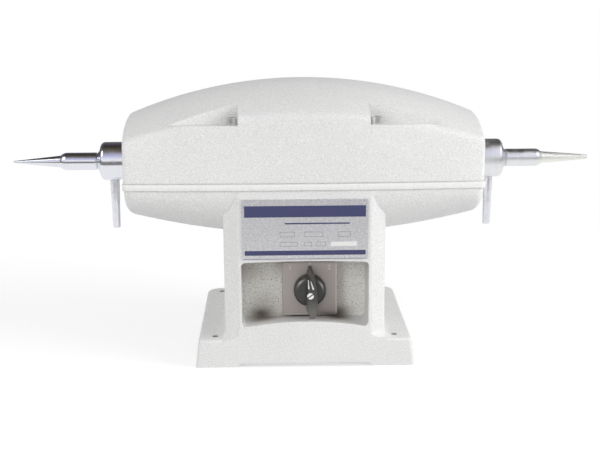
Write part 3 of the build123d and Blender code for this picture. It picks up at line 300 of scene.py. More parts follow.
def floor_paint():
    """Near the machine the floor is lit and takes the shadow; from white_start to white_end it turns plain
    white for the camera. A reflection sees a bench top, longer along the shaft, and the room."""
    material = bpy.data.materials.new("floor_white")
    material.use_nodes = True
    tree = material.node_tree
    paint = tree.nodes["Principled BSDF"]
    paint.inputs["Base Color"].default_value = floor_tone
    paint.inputs["Roughness"].default_value = 0.9
    paint.inputs["Specular IOR Level"].default_value = 0.1
    paint.inputs["Emission Color"].default_value = plain_white
    path = put(tree, "LightPath").outputs
    seen = seen_through(tree, path)
    tree.links.new(times(tree, seen, floor_glow), paint.inputs["Emission Strength"])
    place = object_place(tree)
    far = fade(tree, distance(tree, place), white_start, white_end, interpolation_type="SMOOTHSTEP")
    white = put(tree, "Emission", {"Color": plain_white}).outputs[0]
    along_bench = distance(tree, stretched(tree, place, bench_shape))
    glow = fade(tree, along_bench, bench_end, room_start, bench_glow, room_glow)
    mirrored = put(tree, "Emission", {"Color": bench_tone, "Strength": glow}).outputs[0]
    near = put(tree, "MixShader", {0: times(tree, seen, far), 1: paint.outputs[0], 2: white}).outputs[0]
    both = put(tree, "MixShader", {0: path["Is Glossy Ray"], 1: near, 2: mirrored}).outputs[0]
    tree.links.new(both, tree.nodes["Material Output"].inputs["Surface"])
    return material


floor_white = floor_paint()
print("floor paint:", len(floor_white.node_tree.nodes), "nodes")

# %% [markdown]
# ## The floor's disc
# The floor could be one large square. A disc ends at the same distance on every side, and takes only a few
# rings of points: the first is the middle itself, and the last lies far out, where the floor is as white as
# the background.

# %% The floor's disc
floor_rings = (0.0, 0.4, 1.0, 4.0, 30.0)
floor_spokes = 64


def ring_mesh(name, points):
    """A mesh from an array of points [ring, spoke, xyz]. The cell between two rings and two spokes becomes
    one quad, and the last spoke joins the first."""
    rings, spokes = points.shape[:2]
    i, j = np.meshgrid(np.arange(rings - 1), np.arange(spokes), indexing="ij")
    k = (j + 1) % spokes
    quads = np.stack((i * spokes + j, (i + 1) * spokes + j, (i + 1) * spokes + k, i * spokes + k), -1)
    mesh = bpy.data.meshes.new(name)
    mesh.from_pydata(points.reshape(-1, 3), [], quads.reshape(-1, 4))
    mesh.update()
    return mesh


def studio_floor():
    """A flat round floor at the height of the machine's feet: rings of points, radius times (cos, sin)."""
    ring = np.array(floor_rings)[:, None]
    angle = np.linspace(0, 2 * np.pi, floor_spokes, endpoint=False)[None, :]
    points = np.stack((ring * np.cos(angle), ring * np.sin(angle), 0 * ring * angle), -1)
    floor = bpy.data.objects.new("floor", ring_mesh("floor", points))
    scene.collection.objects.link(floor)
    floor.data.materials.append(floor_white)
    return floor


floor = studio_floor()
print("floor:", len(floor.data.polygons), "faces")

# %% [markdown]
# ## Smooth copies of the CAD solids
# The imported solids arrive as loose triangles, so every facet of the domed cover would show. Subdividing them
# would round off real edges. A copy whose points are merged, with only its true corners kept sharp and its
# normals weighted by face area, keeps the outline exactly and shades like the real casting.

# %% Smooth copies
same_point, no_length = 1e-6, 1e-7


def smooth_copy(node, corner=32.0):
    """A merged copy of a CAD node: points closer than a micrometre become one, edges that turn by more than
    corner degrees stay sharp, and the normals lean on the larger faces."""
    mesh = frame["nodes"][node].data.copy()
    mesh.name = node + "_skin"
    mesh.materials.clear()
    work = bmesh.new()
    work.from_mesh(mesh)
    bmesh.ops.remove_doubles(work, verts=work.verts, dist=same_point)
    bmesh.ops.dissolve_degenerate(work, edges=work.edges, dist=no_length)
    for edge in work.edges:
        edge.smooth = len(edge.link_faces) == 2 and edge.calc_face_angle(math.pi) < math.radians(corner)
    for face in work.faces:
        face.smooth = True
    work.to_mesh(mesh)
    work.free()
    if "custom_normal" in mesh.attributes:
        mesh.attributes.remove(mesh.attributes["custom_normal"])
    skin = bpy.data.objects.new(node + "_skin", mesh)
    scene.collection.objects.link(skin)
    weigh = skin.modifiers.new("weighted_normals", "WEIGHTED_NORMAL")
    weigh.mode = "FACE_AREA"
    weigh.keep_sharp = True
    body = next(name for name, members in frame["record"]["behaviour"]["bodies"].items() if node in members)
    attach(skin, body)
    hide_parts(node)
    return skin


shown = ["body_casting", "top_cover", "cover_screws", "cover_washers"]
shown += ["switch_plate", "switch_knob", "knob_screw", "nameplate"]
for kind in ("lever_collar", "ejector_lever", "push_ring", "taper_spindle"):
    shown += [kind + "_left", kind + "_right"]
shown += ["cable_gland", "bottom_plate", "plate_screws"]
skins = {node: smooth_copy(node) for node in shown}
print("smooth copies:", len(skins), "with", sum(len(skin.data.polygons) for skin in skins.values()), "faces")

# %% [markdown]
# ## Print on the nameplate
# The nameplate is a thin foil with plain printed bars and boxes. Print could be a picture or a mask in the
# shader. Real ink stands a few hundredths of a millimetre proud, so it is built as very thin slabs and
# frames, all corners in one array.

# %% Slabs and frames
def new_piece(name, points, faces, body):
    """A new mesh piece from arrays of points and faces, riding on a body."""
    mesh = bpy.data.meshes.new(name)
    mesh.from_pydata(points, [], faces)
    mesh.update()
    piece = bpy.data.objects.new(name, mesh)
    scene.collection.objects.link(piece)
    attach(piece, body)
    return piece


def print_slabs(name, boxes, face, thick):
    """Thin print in front of the plane y = face. Each row of boxes is x0, x1, z0, z1 in millimetres, and its
    eight corners are every choice of low or high along the three axes."""
    limits = np.asarray(boxes, float) / 1000
    i, j, k = np.array(np.meshgrid((0, 1), (0, 1), (0, 1), indexing="ij")).reshape(3, -1)
    x, z = limits[:, i], limits[:, 2 + k]
    corners = np.stack((x, np.broadcast_to(face - thick * j, x.shape), z), -1)
    sides = np.array(((2, 6, 7, 3), (0, 1, 5, 4), (0, 2, 3, 1), (4, 5, 7, 6), (0, 4, 6, 2), (1, 3, 7, 5)))
    faces = sides[None] + 8 * np.arange(len(limits))[:, None, None]
    return new_piece(name, corners.reshape(-1, 3), faces.reshape(-1, 4), "housing")


def print_frames(name, boxes, face, thick, line):
    """Thin printed frames in front of the plane y = face, each one closed ring. Its sixteen corners are those
    of the box and of the box shrunk by line, in front of the plane and on it. Each of its four sides, from
    corner i to corner j, has a front, a back, an outer and an inner quad."""
    limits = np.asarray(boxes, float) / 1000
    low, high = limits[:, None, None, ::2], limits[:, None, None, 1::2]
    inset = np.array((0.0, line))[:, None, None]
    turn = np.array(((0, 0), (1, 0), (1, 1), (0, 1)))
    flat = np.where(turn, high - inset, low + inset)
    points = np.empty((len(limits), 2, 2, 4, 3))
    points[..., 0] = flat[:, None, :, :, 0]
    points[..., 1] = np.array((face - thick, face))[:, None, None]
    points[..., 2] = flat[:, None, :, :, 1]
    i = np.arange(4)
    j = (i + 1) % 4
    front, back = (i, j, 4 + j, 4 + i), (8 + i, 12 + i, 12 + j, 8 + j)
    outer, inner = (i, 8 + i, 8 + j, j), (4 + i, 4 + j, 12 + j, 12 + i)
    ring = np.array((front, back, outer, inner)).transpose(2, 0, 1)
    faces = ring[None] + 16 * np.arange(len(limits))[:, None, None, None]
    return new_piece(name, points.reshape(-1, 3), faces.reshape(-1, 4), "housing")


plate_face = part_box("nameplate")[0][1]
print("print stands in front of y =", round(plate_face, 4))

# %% [markdown]
# ## Where the print is
# A bar at the head, a thin rule, two rows of boxes, and a bar and a line at the foot, as places in
# millimetres. They could be read from a drawing. So few are plain enough as named values.

# %% Where the print is
head_bar, thin_rule = (-50.0, 50.4, 131.0, 140.6), (-16.6, 37.0, 125.0, 126.2)
foot_bar, foot_line = (-50.0, 50.4, 98.6, 102.6), (-51.6, 51.6, 95.3, 95.6)
upper_row, lower_row = (114.2, 118.5), (106.2, 109.9)
rating_boxes = [(*x, *upper_row) for x in ((-20.8, -8.5), (-0.3, 14.9), (27.3, 37.8))]
rating_boxes += [(*x, *lower_row) for x in ((-20.8, -6.2), (-0.3, 5.6), (9.1, 17.3))]
blank_field = (21.4, 43.1, *lower_row)
ink_thick, blank_thick, frame_line = 0.00004, 0.00003, 0.0003
bars = print_slabs("nameplate_bars", [head_bar, thin_rule, foot_bar, foot_line], plate_face, ink_thick)
boxes = print_frames("nameplate_boxes", rating_boxes, plate_face, ink_thick, frame_line)
blank = print_slabs("nameplate_blank", [blank_field], plate_face, blank_thick)
print("nameplate print:", sum(len(piece.data.polygons) for piece in (bars, boxes, blank)), "faces")

# %% [markdown]
# ## Figures on the switch plate
# The switch plate has the usual figures for its three positions, in pale print. They could be drawn stroke by
# stroke. A text curve gives each in one line, and is made a mesh before it is stood up on the plate.

# %% Figures on the switch plate
figure_places = (("1", -12.0, 77.6, 4.2), ("0", 5.0, 80.0, 3.0), ("2", 22.0, 77.6, 4.2))
height_of_size = 0.7


def switch_figure(text, x, z, height):
    """A printed figure, with its middle and height in millimetres: a text curve made a mesh, then stood up in
    front of the plate, (u, v, w) to (x + u, -w, z + v)."""
    curve = bpy.data.curves.new("figure_" + text, "FONT")
    curve.body = text
    curve.size = height / height_of_size / 1000
    curve.extrude = 0.00002
    curve.align_x = "CENTER"
    curve.align_y = "CENTER"
    loose = bpy.data.objects.new("figure_" + text, curve)
    scene.collection.objects.link(loose)
    mesh = bpy.data.meshes.new_from_object(loose.evaluated_get(bpy.context.evaluated_depsgraph_get()))
    flat = np.empty(3 * len(mesh.vertices))
    mesh.vertices.foreach_get("co", flat)
    u, v, w = flat.reshape(-1, 3).T
    stood = np.column_stack((x / 1000 + u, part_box("switch_plate")[0][1] - w, z / 1000 + v))
    faces = [tuple(face.vertices) for face in mesh.polygons]
    bpy.data.objects.remove(loose)
    return new_piece("switch_figure_" + text, stood, faces, "housing")


figures = [switch_figure(*place) for place in figure_places]
print("switch figures:", [figure.name for figure in figures])

# %% [markdown]
# ## Glint strokes on the knob
# Two pale strokes on the front of the handle are painted highlights, the glints on its flanks, and they show
# which way the knob points. They could be part of its finish, but then their edges would blur, so each is a
# very thin slab that turns with the knob.

# %% Glint strokes on the knob
(screw_x0, screw_front, screw_z0), (screw_x1, _, screw_z1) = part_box("knob_screw")
knob_x, knob_z = (screw_x0 + screw_x1) / 2, (screw_z0 + screw_z1) / 2
knob_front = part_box("switch_knob")[0][1]


def handle_glint_stroke(name, foot, tip, foot_width, tip_width, thick=0.00006):
    """A pale stroke on the handle's front face, a painted highlight, from foot to tip in millimetres from the
    knob's axis, as a closed slab: four corners at half a width to either side of the line, once in front of
    the face by thick and once behind it by as much."""
    foot, tip = np.array(foot, float), np.array(tip, float)
    across = np.array((tip[1] - foot[1], foot[0] - tip[0])) / np.linalg.norm(tip - foot)
    half = np.array((-foot_width, foot_width, tip_width, -tip_width))[:, None] / 2
    x, z = ((np.array((foot, foot, tip, tip)) + half * across) / 1000 + (knob_x, knob_z)).T
    layers = [np.column_stack((x, np.full(4, y), z)) for y in (knob_front - thick, knob_front + thick)]
    faces = [(0, 1, 2, 3), (7, 6, 5, 4)]
    faces += [(i + 4, (i + 1) % 4 + 4, (i + 1) % 4, i) for i in range(4)]
    return new_piece(name, np.concatenate(layers), faces, "switch_knob")


# Painted highlights: two pale glints on the handle's flanks.
glint_strokes = [
    handle_glint_stroke("handle_glint_stroke_left", foot=(-1.5, 6.4), tip=(-1.9, 14.6), foot_width=1.2, tip_width=0.5),
    handle_glint_stroke("handle_glint_stroke_right", foot=(2.5, 6.0), tip=(0.2, 13.2), foot_width=1.3, tip_width=0.5),
]
print("pointer strokes:", [stroke.name for stroke in glint_strokes])

# %% [markdown]
# ## Shared effects
# Several finishes share the same effects, such as the orange-peel grain of a textured coat. They could be
# wired anew in each material. Here each is a small node group with its own sizes as inputs, so a finish only
# has to choose numbers. A group puts out masks and heights, and the shader stays in the material.

# %% Grain of a coat
def new_group(name, inputs, outputs):
    """An empty node group that takes a place and other named inputs; returns the tree and its two ends."""
    tree = bpy.data.node_groups.new(name, "ShaderNodeTree")
    tree.interface.new_socket("Vector", in_out="INPUT", socket_type="NodeSocketVector")
    for label, kind, value in inputs:
        socket = tree.interface.new_socket(label, in_out="INPUT", socket_type="NodeSocket" + kind)
        socket.default_value = value
    for label in outputs:
        tree.interface.new_socket(label, in_out="OUTPUT", socket_type="NodeSocketFloat")
    return tree, tree.nodes.new("NodeGroupInput").outputs, tree.nodes.new("NodeGroupOutput").inputs


def noise(tree, place, scale, detail, rough=0.5, distortion=0.0):
    """The value of a noise at a place."""
    inputs = {"Vector": place, "Scale": scale, "Detail": detail, "Roughness": rough, "Distortion": distortion}
    return put(tree, "TexNoise", inputs).outputs[0]


def full_range(tree, value):
    """The middle part of a noise, 0.3 to 0.7, stretched to 0 to 1."""
    return fade(tree, value, 0.3, 0.7)


def grain_group():
    """Textured coat: height is 0.6 of a noise of the given size and 0.4 of one a third as large; speckle is
    the fine noise stretched to the full range; cloud is a slow noise of 60 grains."""
    tree, given, out = new_group("coat_grain", [("Size", "Float", 0.001)], ["Height", "Speckle", "Cloud"])
    per = math_node(tree, "DIVIDE", 1.0, given["Size"])
    place = put(tree, "VectorMath", {0: given["Vector"], "Scale": per}, operation="SCALE").outputs[0]
    coarse = noise(tree, place, scale=1.0, detail=1.0)
    fine = noise(tree, place, scale=2.9, detail=2.0, rough=0.6)
    cloud = noise(tree, place, scale=1 / 60, detail=3.0, rough=0.55)
    height = math_node(tree, "ADD", times(tree, coarse, 0.6), times(tree, fine, 0.4))
    tree.links.new(height, out["Height"])
    tree.links.new(full_range(tree, fine), out["Speckle"])
    tree.links.new(full_range(tree, cloud), out["Cloud"])
    return tree


groups = {"grain": grain_group()}
print("shared effects:", ", ".join(groups))

# %% [markdown]
# ## Lines and smudges
# A lathe leaves fine rings on a turned piece, rolling leaves lines in a sheet, and hands leave smudges on
# both. The lines could be modelled, but they are far finer than any mesh. A noise that is squeezed along one
# axis gives them, and a slow wandering noise gives the smudges.

# %% Lines and smudges
def drawn_group():
    """Drawn or turned lines: a noise squeezed by Stretch, so that it changes fast across the lines and slowly
    along them."""
    tree, given, out = new_group("drawn_lines", [("Stretch", "Vector", (60, 60, 6000))], ["Height", "Tone"])
    place = stretched(tree, given["Vector"], given["Stretch"])
    lines = noise(tree, place, scale=1.0, detail=3.0, rough=0.65)
    tree.links.new(lines, out["Height"])
    tree.links.new(full_range(tree, lines), out["Tone"])
    return tree


def smudge_group():
    """Smudges and handling marks: a wandering noise whose upper part is kept, 0 on clean metal below 0.45 and
    1 above 0.75."""
    tree, given, out = new_group("smudges", [("Scale", "Float", 60.0)], ["Mask"])
    cloud = noise(tree, given["Vector"], given["Scale"], detail=4.0, rough=0.6, distortion=0.6)
    tree.links.new(fade(tree, cloud, 0.45, 0.75), out["Mask"])
    return tree


groups["drawn"] = drawn_group()
groups["smudge"] = smudge_group()
print("shared effects:", ", ".join(groups))

# %% [markdown]
# ## Stains, seam dirt and seam shade
# Grease collects in corners, and dirt along the joint of two castings; the line along the joint is also
# painted shade in its crease, and some soft spots stand for painted shade and others for painted highlights.
# Both could be painted on an image. A soft spot with a centre and a reach, and a soft line at a level, need
# only a few numbers each.

# %% Stains, seam dirt and seam shade
def stain_group():
    """A soft stain: exp(-d * d), where d is the distance from Centre measured in Reach along each axis."""
    sockets = [("Centre", "Vector", (0, 0, 0)), ("Reach", "Vector", (0.01, 0.01, 0.01))]
    tree, given, out = new_group("soft_stain", sockets, ["Mask"])
    away = put(tree, "VectorMath", {0: given["Vector"], 1: given["Centre"]}, operation="SUBTRACT").outputs[0]
    share = put(tree, "VectorMath", {0: away, 1: given["Reach"]}, operation="DIVIDE").outputs[0]
    square = put(tree, "VectorMath", {0: share, 1: share}, operation="DOT_PRODUCT").outputs["Value"]
    tree.links.new(bell(tree, square), out["Mask"])
    return tree


def seam_group():
    """Dirt and painted shade along a level seam: exp(-d * d) with d = (z - Level) / Width, thinned out to
    0.55 in places by a noise."""
    sockets = [("Level", "Float", 0.0), ("Width", "Float", 0.001)]
    tree, given, out = new_group("seam_dirt_and_shade", sockets, ["Mask"])
    height = xyz(tree, given["Vector"])["Z"]
    away = math_node(tree, "DIVIDE", math_node(tree, "SUBTRACT", height, given["Level"]), given["Width"])
    patch = noise(tree, given["Vector"], scale=90.0, detail=3.0)
    share = fade(tree, patch, 0.3, 0.6, low=0.55)
    tree.links.new(times(tree, bell(tree, times(tree, away, away)), share), out["Mask"])
    return tree


groups["stain"] = stain_group()
groups["seam"] = seam_group()
print("shared effects:", ", ".join(groups))

# %% [markdown]
# ## Material helpers
# Every finish is one Principled shader with its plain numbers set on it, and a few effects that move its
# colour, gloss and surface. Wear could be mixed in as a second shader. A tone that is laid over the finished
# colour by a mask gives dirt or a rubbed edge with the one shader alone.

# %% Material helpers
def finish(name, **plain):
    """A material whose shader has these constant sockets; returns material, tree, shader and place."""
    material = bpy.data.materials.new(name)
    material.use_nodes = True
    tree = material.node_tree
    shader = tree.nodes["Principled BSDF"]
    for socket, value in plain.items():
        shader.inputs[socket.replace("_", " ")].default_value = value
    return material, tree, shader, object_place(tree)


def effect(tree, which, **inputs):
    """Place one of the shared effects in a material and return its outputs."""
    return put(tree, "Group", inputs, node_tree=groups[which]).outputs


def stain(tree, where, centre, reach):
    """The mask of one soft stain."""
    return effect(tree, "stain", Vector=where, Centre=centre, Reach=reach)["Mask"]


def blend_colour(tree, share, first, second):
    """Mix two colours, or two colour outputs, by a share."""
    made = put(tree, "Mix", {0: share}, data_type="RGBA")
    for socket, tone in ((made.inputs[6], first), (made.inputs[7], second)):
        give(tree, socket, tone if isinstance(tone, bpy.types.NodeSocket) else (*tone, 1))
    return made.outputs[2]


def dent(tree, shader, height, depth, strength=0.5):
    """Tilt the surface by a height, as a bump of the given depth in metres."""
    bump = put(tree, "Bump", {"Height": height, "Distance": depth, "Strength": strength})
    tree.links.new(bump.outputs[0], shader.inputs["Normal"])


def wear(material, mask, tone):
    """Blend a tone into a finish's colour where the mask is 1."""
    tree = material.node_tree
    socket = tree.nodes["Principled BSDF"].inputs["Base Color"]
    tree.links.new(blend_colour(tree, mask, socket.links[0].from_socket, tone), socket)


print("materials so far:", len(bpy.data.materials))

# %% [markdown]
# ## Textured paint
# The castings wear an off-white textured coat. It could be one flat colour with a bump. Here the grain also
# moves the colour and the gloss a little, and dirt and painted shade lie along the seam. What is different in
# one region of a casting comes in as a layer, a function that is given the colour so far.

# %% Textured paint
rim_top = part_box("body_casting")[1][2]
cover_seam, body_seam = rim_top + 0.0005, rim_top - 0.0057
paint_pits, paint_crests = (0.670, 0.671, 0.667), (0.950, 0.949, 0.940)
paint_grain, paint_depth = 0.0030, 0.00022
speckle_share, cloud_share = 0.75, 0.25
pit_rough, crest_rough = 0.42, 0.62
# Dirt and painted shade along the seams: a dark line in the crease of each joint.
seam_shade_and_dirt_tone, seam_shade_and_dirt_share, seam_width = (0.30, 0.29, 0.27), 0.4, 0.0006


def textured_paint(name, layers, seam_level):
    """The coat of one casting: its grain moves colour and gloss, each layer changes the colour in one region,
    and dirt and painted shade lie along its seam."""
    material, tree, shader, where = finish(name, IOR=1.5, Specular_IOR_Level=0.4)
    grain = effect(tree, "grain", Vector=where, Size=paint_grain)
    speckle, cloud = times(tree, grain["Speckle"], speckle_share), times(tree, grain["Cloud"], cloud_share)
    colour = blend_colour(tree, math_node(tree, "ADD", speckle, cloud), paint_pits, paint_crests)
    for layer in layers:
        colour = layer(tree, where, colour)
    # Seam line: dirt, and painted shade in the joint's crease.
    seam = effect(tree, "seam", Vector=where, Level=seam_level, Width=seam_width)["Mask"]
    colour = blend_colour(tree, times(tree, seam, seam_shade_and_dirt_share), colour, seam_shade_and_dirt_tone)
    tree.links.new(colour, shader.inputs["Base Color"])
    tree.links.new(fade(tree, grain["Speckle"], 0, 1, pit_rough, crest_rough), shader.inputs["Roughness"])
    dent(tree, shader, grain["Height"], paint_depth, strength=0.55)
    return material


paint_cover = textured_paint("cover_paint", (), cover_seam)
print("cover paint:", len(paint_cover.node_tree.nodes), "nodes")

# %% [markdown]
# ## The switch niche
# Inside the switch niche the casting is rougher under a thinner coat. Its walls are darker under the niche's
# head as painted shade and paler towards its sill as painted light, and its corners hold grease and painted
# shade. It could be a piece of its own with its own paint. A mask made of its walls keeps it one casting, and
# the grease and painted shadows are a few soft stains at their own places.

# %% The niche's walls
# Each pair of limits says where a mask is still 0 and where it is 1.
niche_half_width = (0.0542, 0.0538)
niche_head, niche_foot = (0.0945, 0.0935), (0.030, 0.031)
niche_front, niche_back = (-0.0775, -0.0725), (-0.034, -0.036)
sill_level, sill_back = (0.0425, 0.0405), (-0.0385, -0.0395)
# Painted shade under the niche's head and painted light towards its sill, over this fade of height.
shade_to_light_fade = (0.0846, 0.0630)
cast_grain, pit_sharpness = 0.0042, 0.30
# Pits and crests of the rough cast, shaded at the head and lit low down: painted light and shade.
shaded_head_pits, lit_low_pits = (0.15, 0.14, 0.115), (0.36, 0.34, 0.29)
shaded_head_crests, lit_low_crests = (0.84, 0.83, 0.79), (1.0, 0.99, 0.955)


def niche_inside(tree, where):
    """1 in all of the switch niche: a window in x, y and z."""
    x, y, z = xyz(tree, where)
    inside = fade(tree, math_node(tree, "ABSOLUTE", x), *niche_half_width)
    for value, limits in ((z, niche_head), (z, niche_foot), (y, niche_front), (y, niche_back)):
        inside = times(tree, inside, fade(tree, value, *limits))
    return inside


def niche_walls(tree, where, colour):
    """The rough coat on the side and back walls, which is all of the niche without its sill: pits and crests
    of the cast surface, both darker near the head as painted shade and paler further down as painted light.
    The sill lies low and ahead of the back wall."""
    _, y, z = xyz(tree, where)
    sill = times(tree, fade(tree, z, *sill_level), fade(tree, y, *sill_back))
    walls = times(tree, niche_inside(tree, where), math_node(tree, "SUBTRACT", 1.0, sill))
    # Painted light and shade: darker under the head and paler towards the sill.
    lower = fade(tree, z, *shade_to_light_fade)
    pits = blend_colour(tree, lower, shaded_head_pits, lit_low_pits)
    crests = blend_colour(tree, lower, shaded_head_crests, lit_low_crests)
    speckle = effect(tree, "grain", Vector=where, Size=cast_grain)["Speckle"]
    rough_cast = blend_colour(tree, math_node(tree, "POWER", speckle, pit_sharpness), pits, crests)
    return blend_colour(tree, walls, colour, rough_cast)


print("niche:", round(2000 * niche_half_width[1], 1), "mm wide")

# %% [markdown]
# ## Grease, shadows, bolt holes and rim bead
# The casting has three more regions of its own: grease stains and painted shade and shadows in the niche,
# bolt holes in the foot darkened by dirt and painted shade, and a paler coat with a painted highlight on the
# bead along the parting line. Each could be painted by hand on an unwrapped casting. As layers they need only
# places, reaches and tones.

# %% Grease, shadows, bolt holes and rim bead
# Each stain has its centre, its reach along the three axes, and its strength. The stains right of and under
# the plate are its painted shadow, the two at the upper left are painted shade under the niche's head, and
# the ones in the lower corners and at the sill's ends are grease and painted shade.
grease_and_shade_tone = (0.085, 0.056, 0.036)
niche_stains_and_shadows = {
    "lower left corner": ((-0.0375, -0.040, 0.0345), (0.0100, 0.018, 0.0058), 0.86),
    "over the lower left corner": ((-0.0360, -0.039, 0.0440), (0.0110, 0.010, 0.0110), 0.24),
    "lower right corner": ((0.0290, -0.040, 0.0345), (0.0105, 0.018, 0.0066), 0.88),
    "right of the plate": ((0.0320, -0.039, 0.0600), (0.0050, 0.010, 0.0350), 0.42),
    "upper left wall": ((-0.0480, -0.039, 0.0750), (0.0165, 0.020, 0.0140), 0.30),
    "upper left corner of the plate": ((-0.0215, -0.039, 0.0850), (0.0060, 0.010, 0.0140), 0.35),
    "under the plate": ((-0.0030, -0.039, 0.0325), (0.0130, 0.007, 0.0030), 0.80),
    "left end of the sill": ((-0.0385, -0.054, 0.0330), (0.0120, 0.010, 0.0080), 0.40),
    "right end of the sill": ((0.0290, -0.052, 0.0340), (0.0100, 0.010, 0.0080), 0.45),
}
bolts = next(mount["dims"] for mount in frame["record"]["mounts"] if mount["kind"] == "bolt_pattern")
bolt_x, bolt_y = bolts["spacing_x_mm"] / 2 / 1000, bolts["spacing_y_mm"] / 2 / 1000
flange_top = 0.0242
hole_fade = (flange_top - 0.0002, flange_top - 0.0008)
hole_middle, hole_reach = 0.01, (0.005, 0.005, 0.05)
# Dirt and painted shade in the bolt holes.
hole_shade_and_dirt_tone = (0.24, 0.20, 0.17)
# Paler coat and painted highlight on the rim bead, stronger towards its top.
rim_pale_and_highlight_fade = (rim_top - 0.0053, rim_top - 0.0019)
rim_pale_and_highlight_tone, rim_pale_and_highlight_share = (0.985, 0.985, 0.98), 0.50


def niche_grease_and_shade(tree, where, colour):
    """Grease, painted shade and painted shadows in the niche: soft stains, each blended in by its strength."""
    inside = niche_inside(tree, where)
    for centre, reach, strength in niche_stains_and_shadows.values():
        # Grease, painted shade and painted shadows, stain by stain.
        grease = times(tree, stain(tree, where, centre, reach), strength)
        colour = blend_colour(tree, times(tree, grease, inside), colour, grease_and_shade_tone)
    return colour


def hole_dirt_and_shade(tree, where, colour):
    """Dirt and painted shade in the bolt holes: a stain round each hole's axis, only below the top of the
    flange.
    """
    sunk = fade(tree, xyz(tree, where)["Z"], *hole_fade)
    for x, y in [(i * bolt_x, j * bolt_y) for i in (-1, 1) for j in (-1, 1)]:
        hole = stain(tree, where, (x, y, hole_middle), hole_reach)
        colour = blend_colour(tree, times(tree, hole, sunk), colour, hole_shade_and_dirt_tone)
    return colour


def rim_coat_and_highlight(tree, where, colour):
    """The paler coat and painted highlight of the rim bead, which come in from the bead's foot to over half of
    its height and are strongest on its upper part.
    """
    return blend_colour(tree, fade(tree, xyz(tree, where)["Z"], *rim_pale_and_highlight_fade, high=rim_pale_and_highlight_share), colour, rim_pale_and_highlight_tone)


paint_body = textured_paint("casting_paint", (niche_walls, niche_grease_and_shade, hole_dirt_and_shade, rim_coat_and_highlight), body_seam)
print("casting paint:", len(paint_body.node_tree.nodes), "nodes and", len(niche_stains_and_shadows), "stains")

# %% [markdown]
# ## Metals
# The collars, levers, push rings and spindles are chromed: almost a mirror, with faint lathe rings and finger
# marks that only change the gloss. The right side is worn. Screws and hidden pieces are plainer steel,
# aluminium, bronze and copper. Each could be a plain shiny metal, but then nothing would tell a turned shaft
# from a cast bell. One recipe, with its own lines for each metal, does.

# %% Metals
smudge_scale = 150.0
round_x, round_z = (5200.0, 25.0, 25.0), (25.0, 25.0, 5200.0)
tumbled, sand_cast, sintered = (900.0,) * 3, (700.0,) * 3, (1500.0,) * 3
stacked_x, wound_x, rolled_y = (2000.0, 40.0, 40.0), (60.0, 1800.0, 1800.0), (300.0, 40.0, 300.0)


def metal(name, dark, light, rough, stretch, depth, smudge):
    """A metal with drawn or turned lines: the lines move the colour between dark and light and the roughness
    by a fifth either way, and dent the surface by depth. Smudges raise the roughness by the given amount."""
    material, tree, shader, where = finish(name, Metallic=1.0)
    lines = effect(tree, "drawn", Vector=where, Stretch=stretch)
    tree.links.new(blend_colour(tree, lines["Tone"], dark, light), shader.inputs["Base Color"])
    marks = effect(tree, "smudge", Vector=where, Scale=smudge_scale)["Mask"]
    base = fade(tree, lines["Tone"], 0, 1, rough * 0.8, rough * 1.2)
    tree.links.new(math_node(tree, "ADD", base, times(tree, marks, smudge)), shader.inputs["Roughness"])
    dent(tree, shader, lines["Height"], depth)
    return material


# Each call: name, dark and light tone, roughness, lines, depth of the lines in metres, smudge.
bright = ((0.80, 0.81, 0.84), (0.88, 0.89, 0.91))
dull = ((0.78, 0.79, 0.78), (0.95, 0.955, 0.94))
chrome_x = metal("chrome_turned", *bright, 0.12, round_x, 0.000004, 0.14)
chrome_z = metal("chrome_rod", *bright, 0.13, round_z, 0.000004, 0.14)
worn_x = metal("chrome_worn", *dull, 0.36, round_x, 0.000006, 0.24)
worn_point = metal("chrome_worn_point", *dull, 0.36, round_x, 0.000006, 0.24)
zinc = metal("zinc_screws", (0.76, 0.76, 0.73), (0.91, 0.91, 0.88), 0.34, tumbled, 0.00002, 0.15)
nickel = metal("nickel_screw", (0.82, 0.82, 0.80), (0.93, 0.93, 0.91), 0.16, tumbled, 0.00001, 0.05)
bearing_steel = metal("bearing_steel", (0.60, 0.60, 0.61), (0.74, 0.74, 0.75), 0.18, round_x, 0.000006, 0.05)
shaft_steel = metal("shaft_steel", (0.50, 0.50, 0.51), (0.66, 0.66, 0.67), 0.26, round_x, 0.00001, 0.10)
lamination = metal("lamination_steel", (0.16, 0.16, 0.17), (0.36, 0.36, 0.38), 0.45, stacked_x, 0.0001, 0.15)
aluminium = metal("raw_aluminium", (0.60, 0.61, 0.62), (0.74, 0.75, 0.76), 0.38, sand_cast, 0.00005, 0.15)
bronze = metal("sintered_bronze", (0.46, 0.30, 0.14), (0.64, 0.45, 0.24), 0.42, sintered, 0.00002, 0.10)
copper = metal("enamelled_copper", (0.36, 0.13, 0.05), (0.62, 0.28, 0.12), 0.30, wound_x, 0.0002, 0.10)
sheet_zinc = metal("zinc_sheet", (0.52, 0.53, 0.55), (0.70, 0.71, 0.73), 0.34, rolled_y, 0.00003, 0.15)
print("materials so far:", len(bpy.data.materials))

# %% [markdown]
# ## Wear and painted shade on the metals
# The point of the right spindle has gone dull and a little yellow, and the slot of the knob's screw is
# darkened as painted shade. Each could have a material of its own with a hard border. A fade along one axis,
# laid over the finished metal, gives a soft one.

# %% Wear and painted shade on the metals
point_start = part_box("taper_spindle_right")[1][0] - 0.045
point_fade = (point_start, point_start + 0.004)
point_tone, point_share, point_rough = (0.97, 0.965, 0.87), 0.8, 0.2
slot_shade_fade = (screw_front + 0.0002, screw_front + 0.0005)
slot_shade_tone = (0.035, 0.030, 0.025)


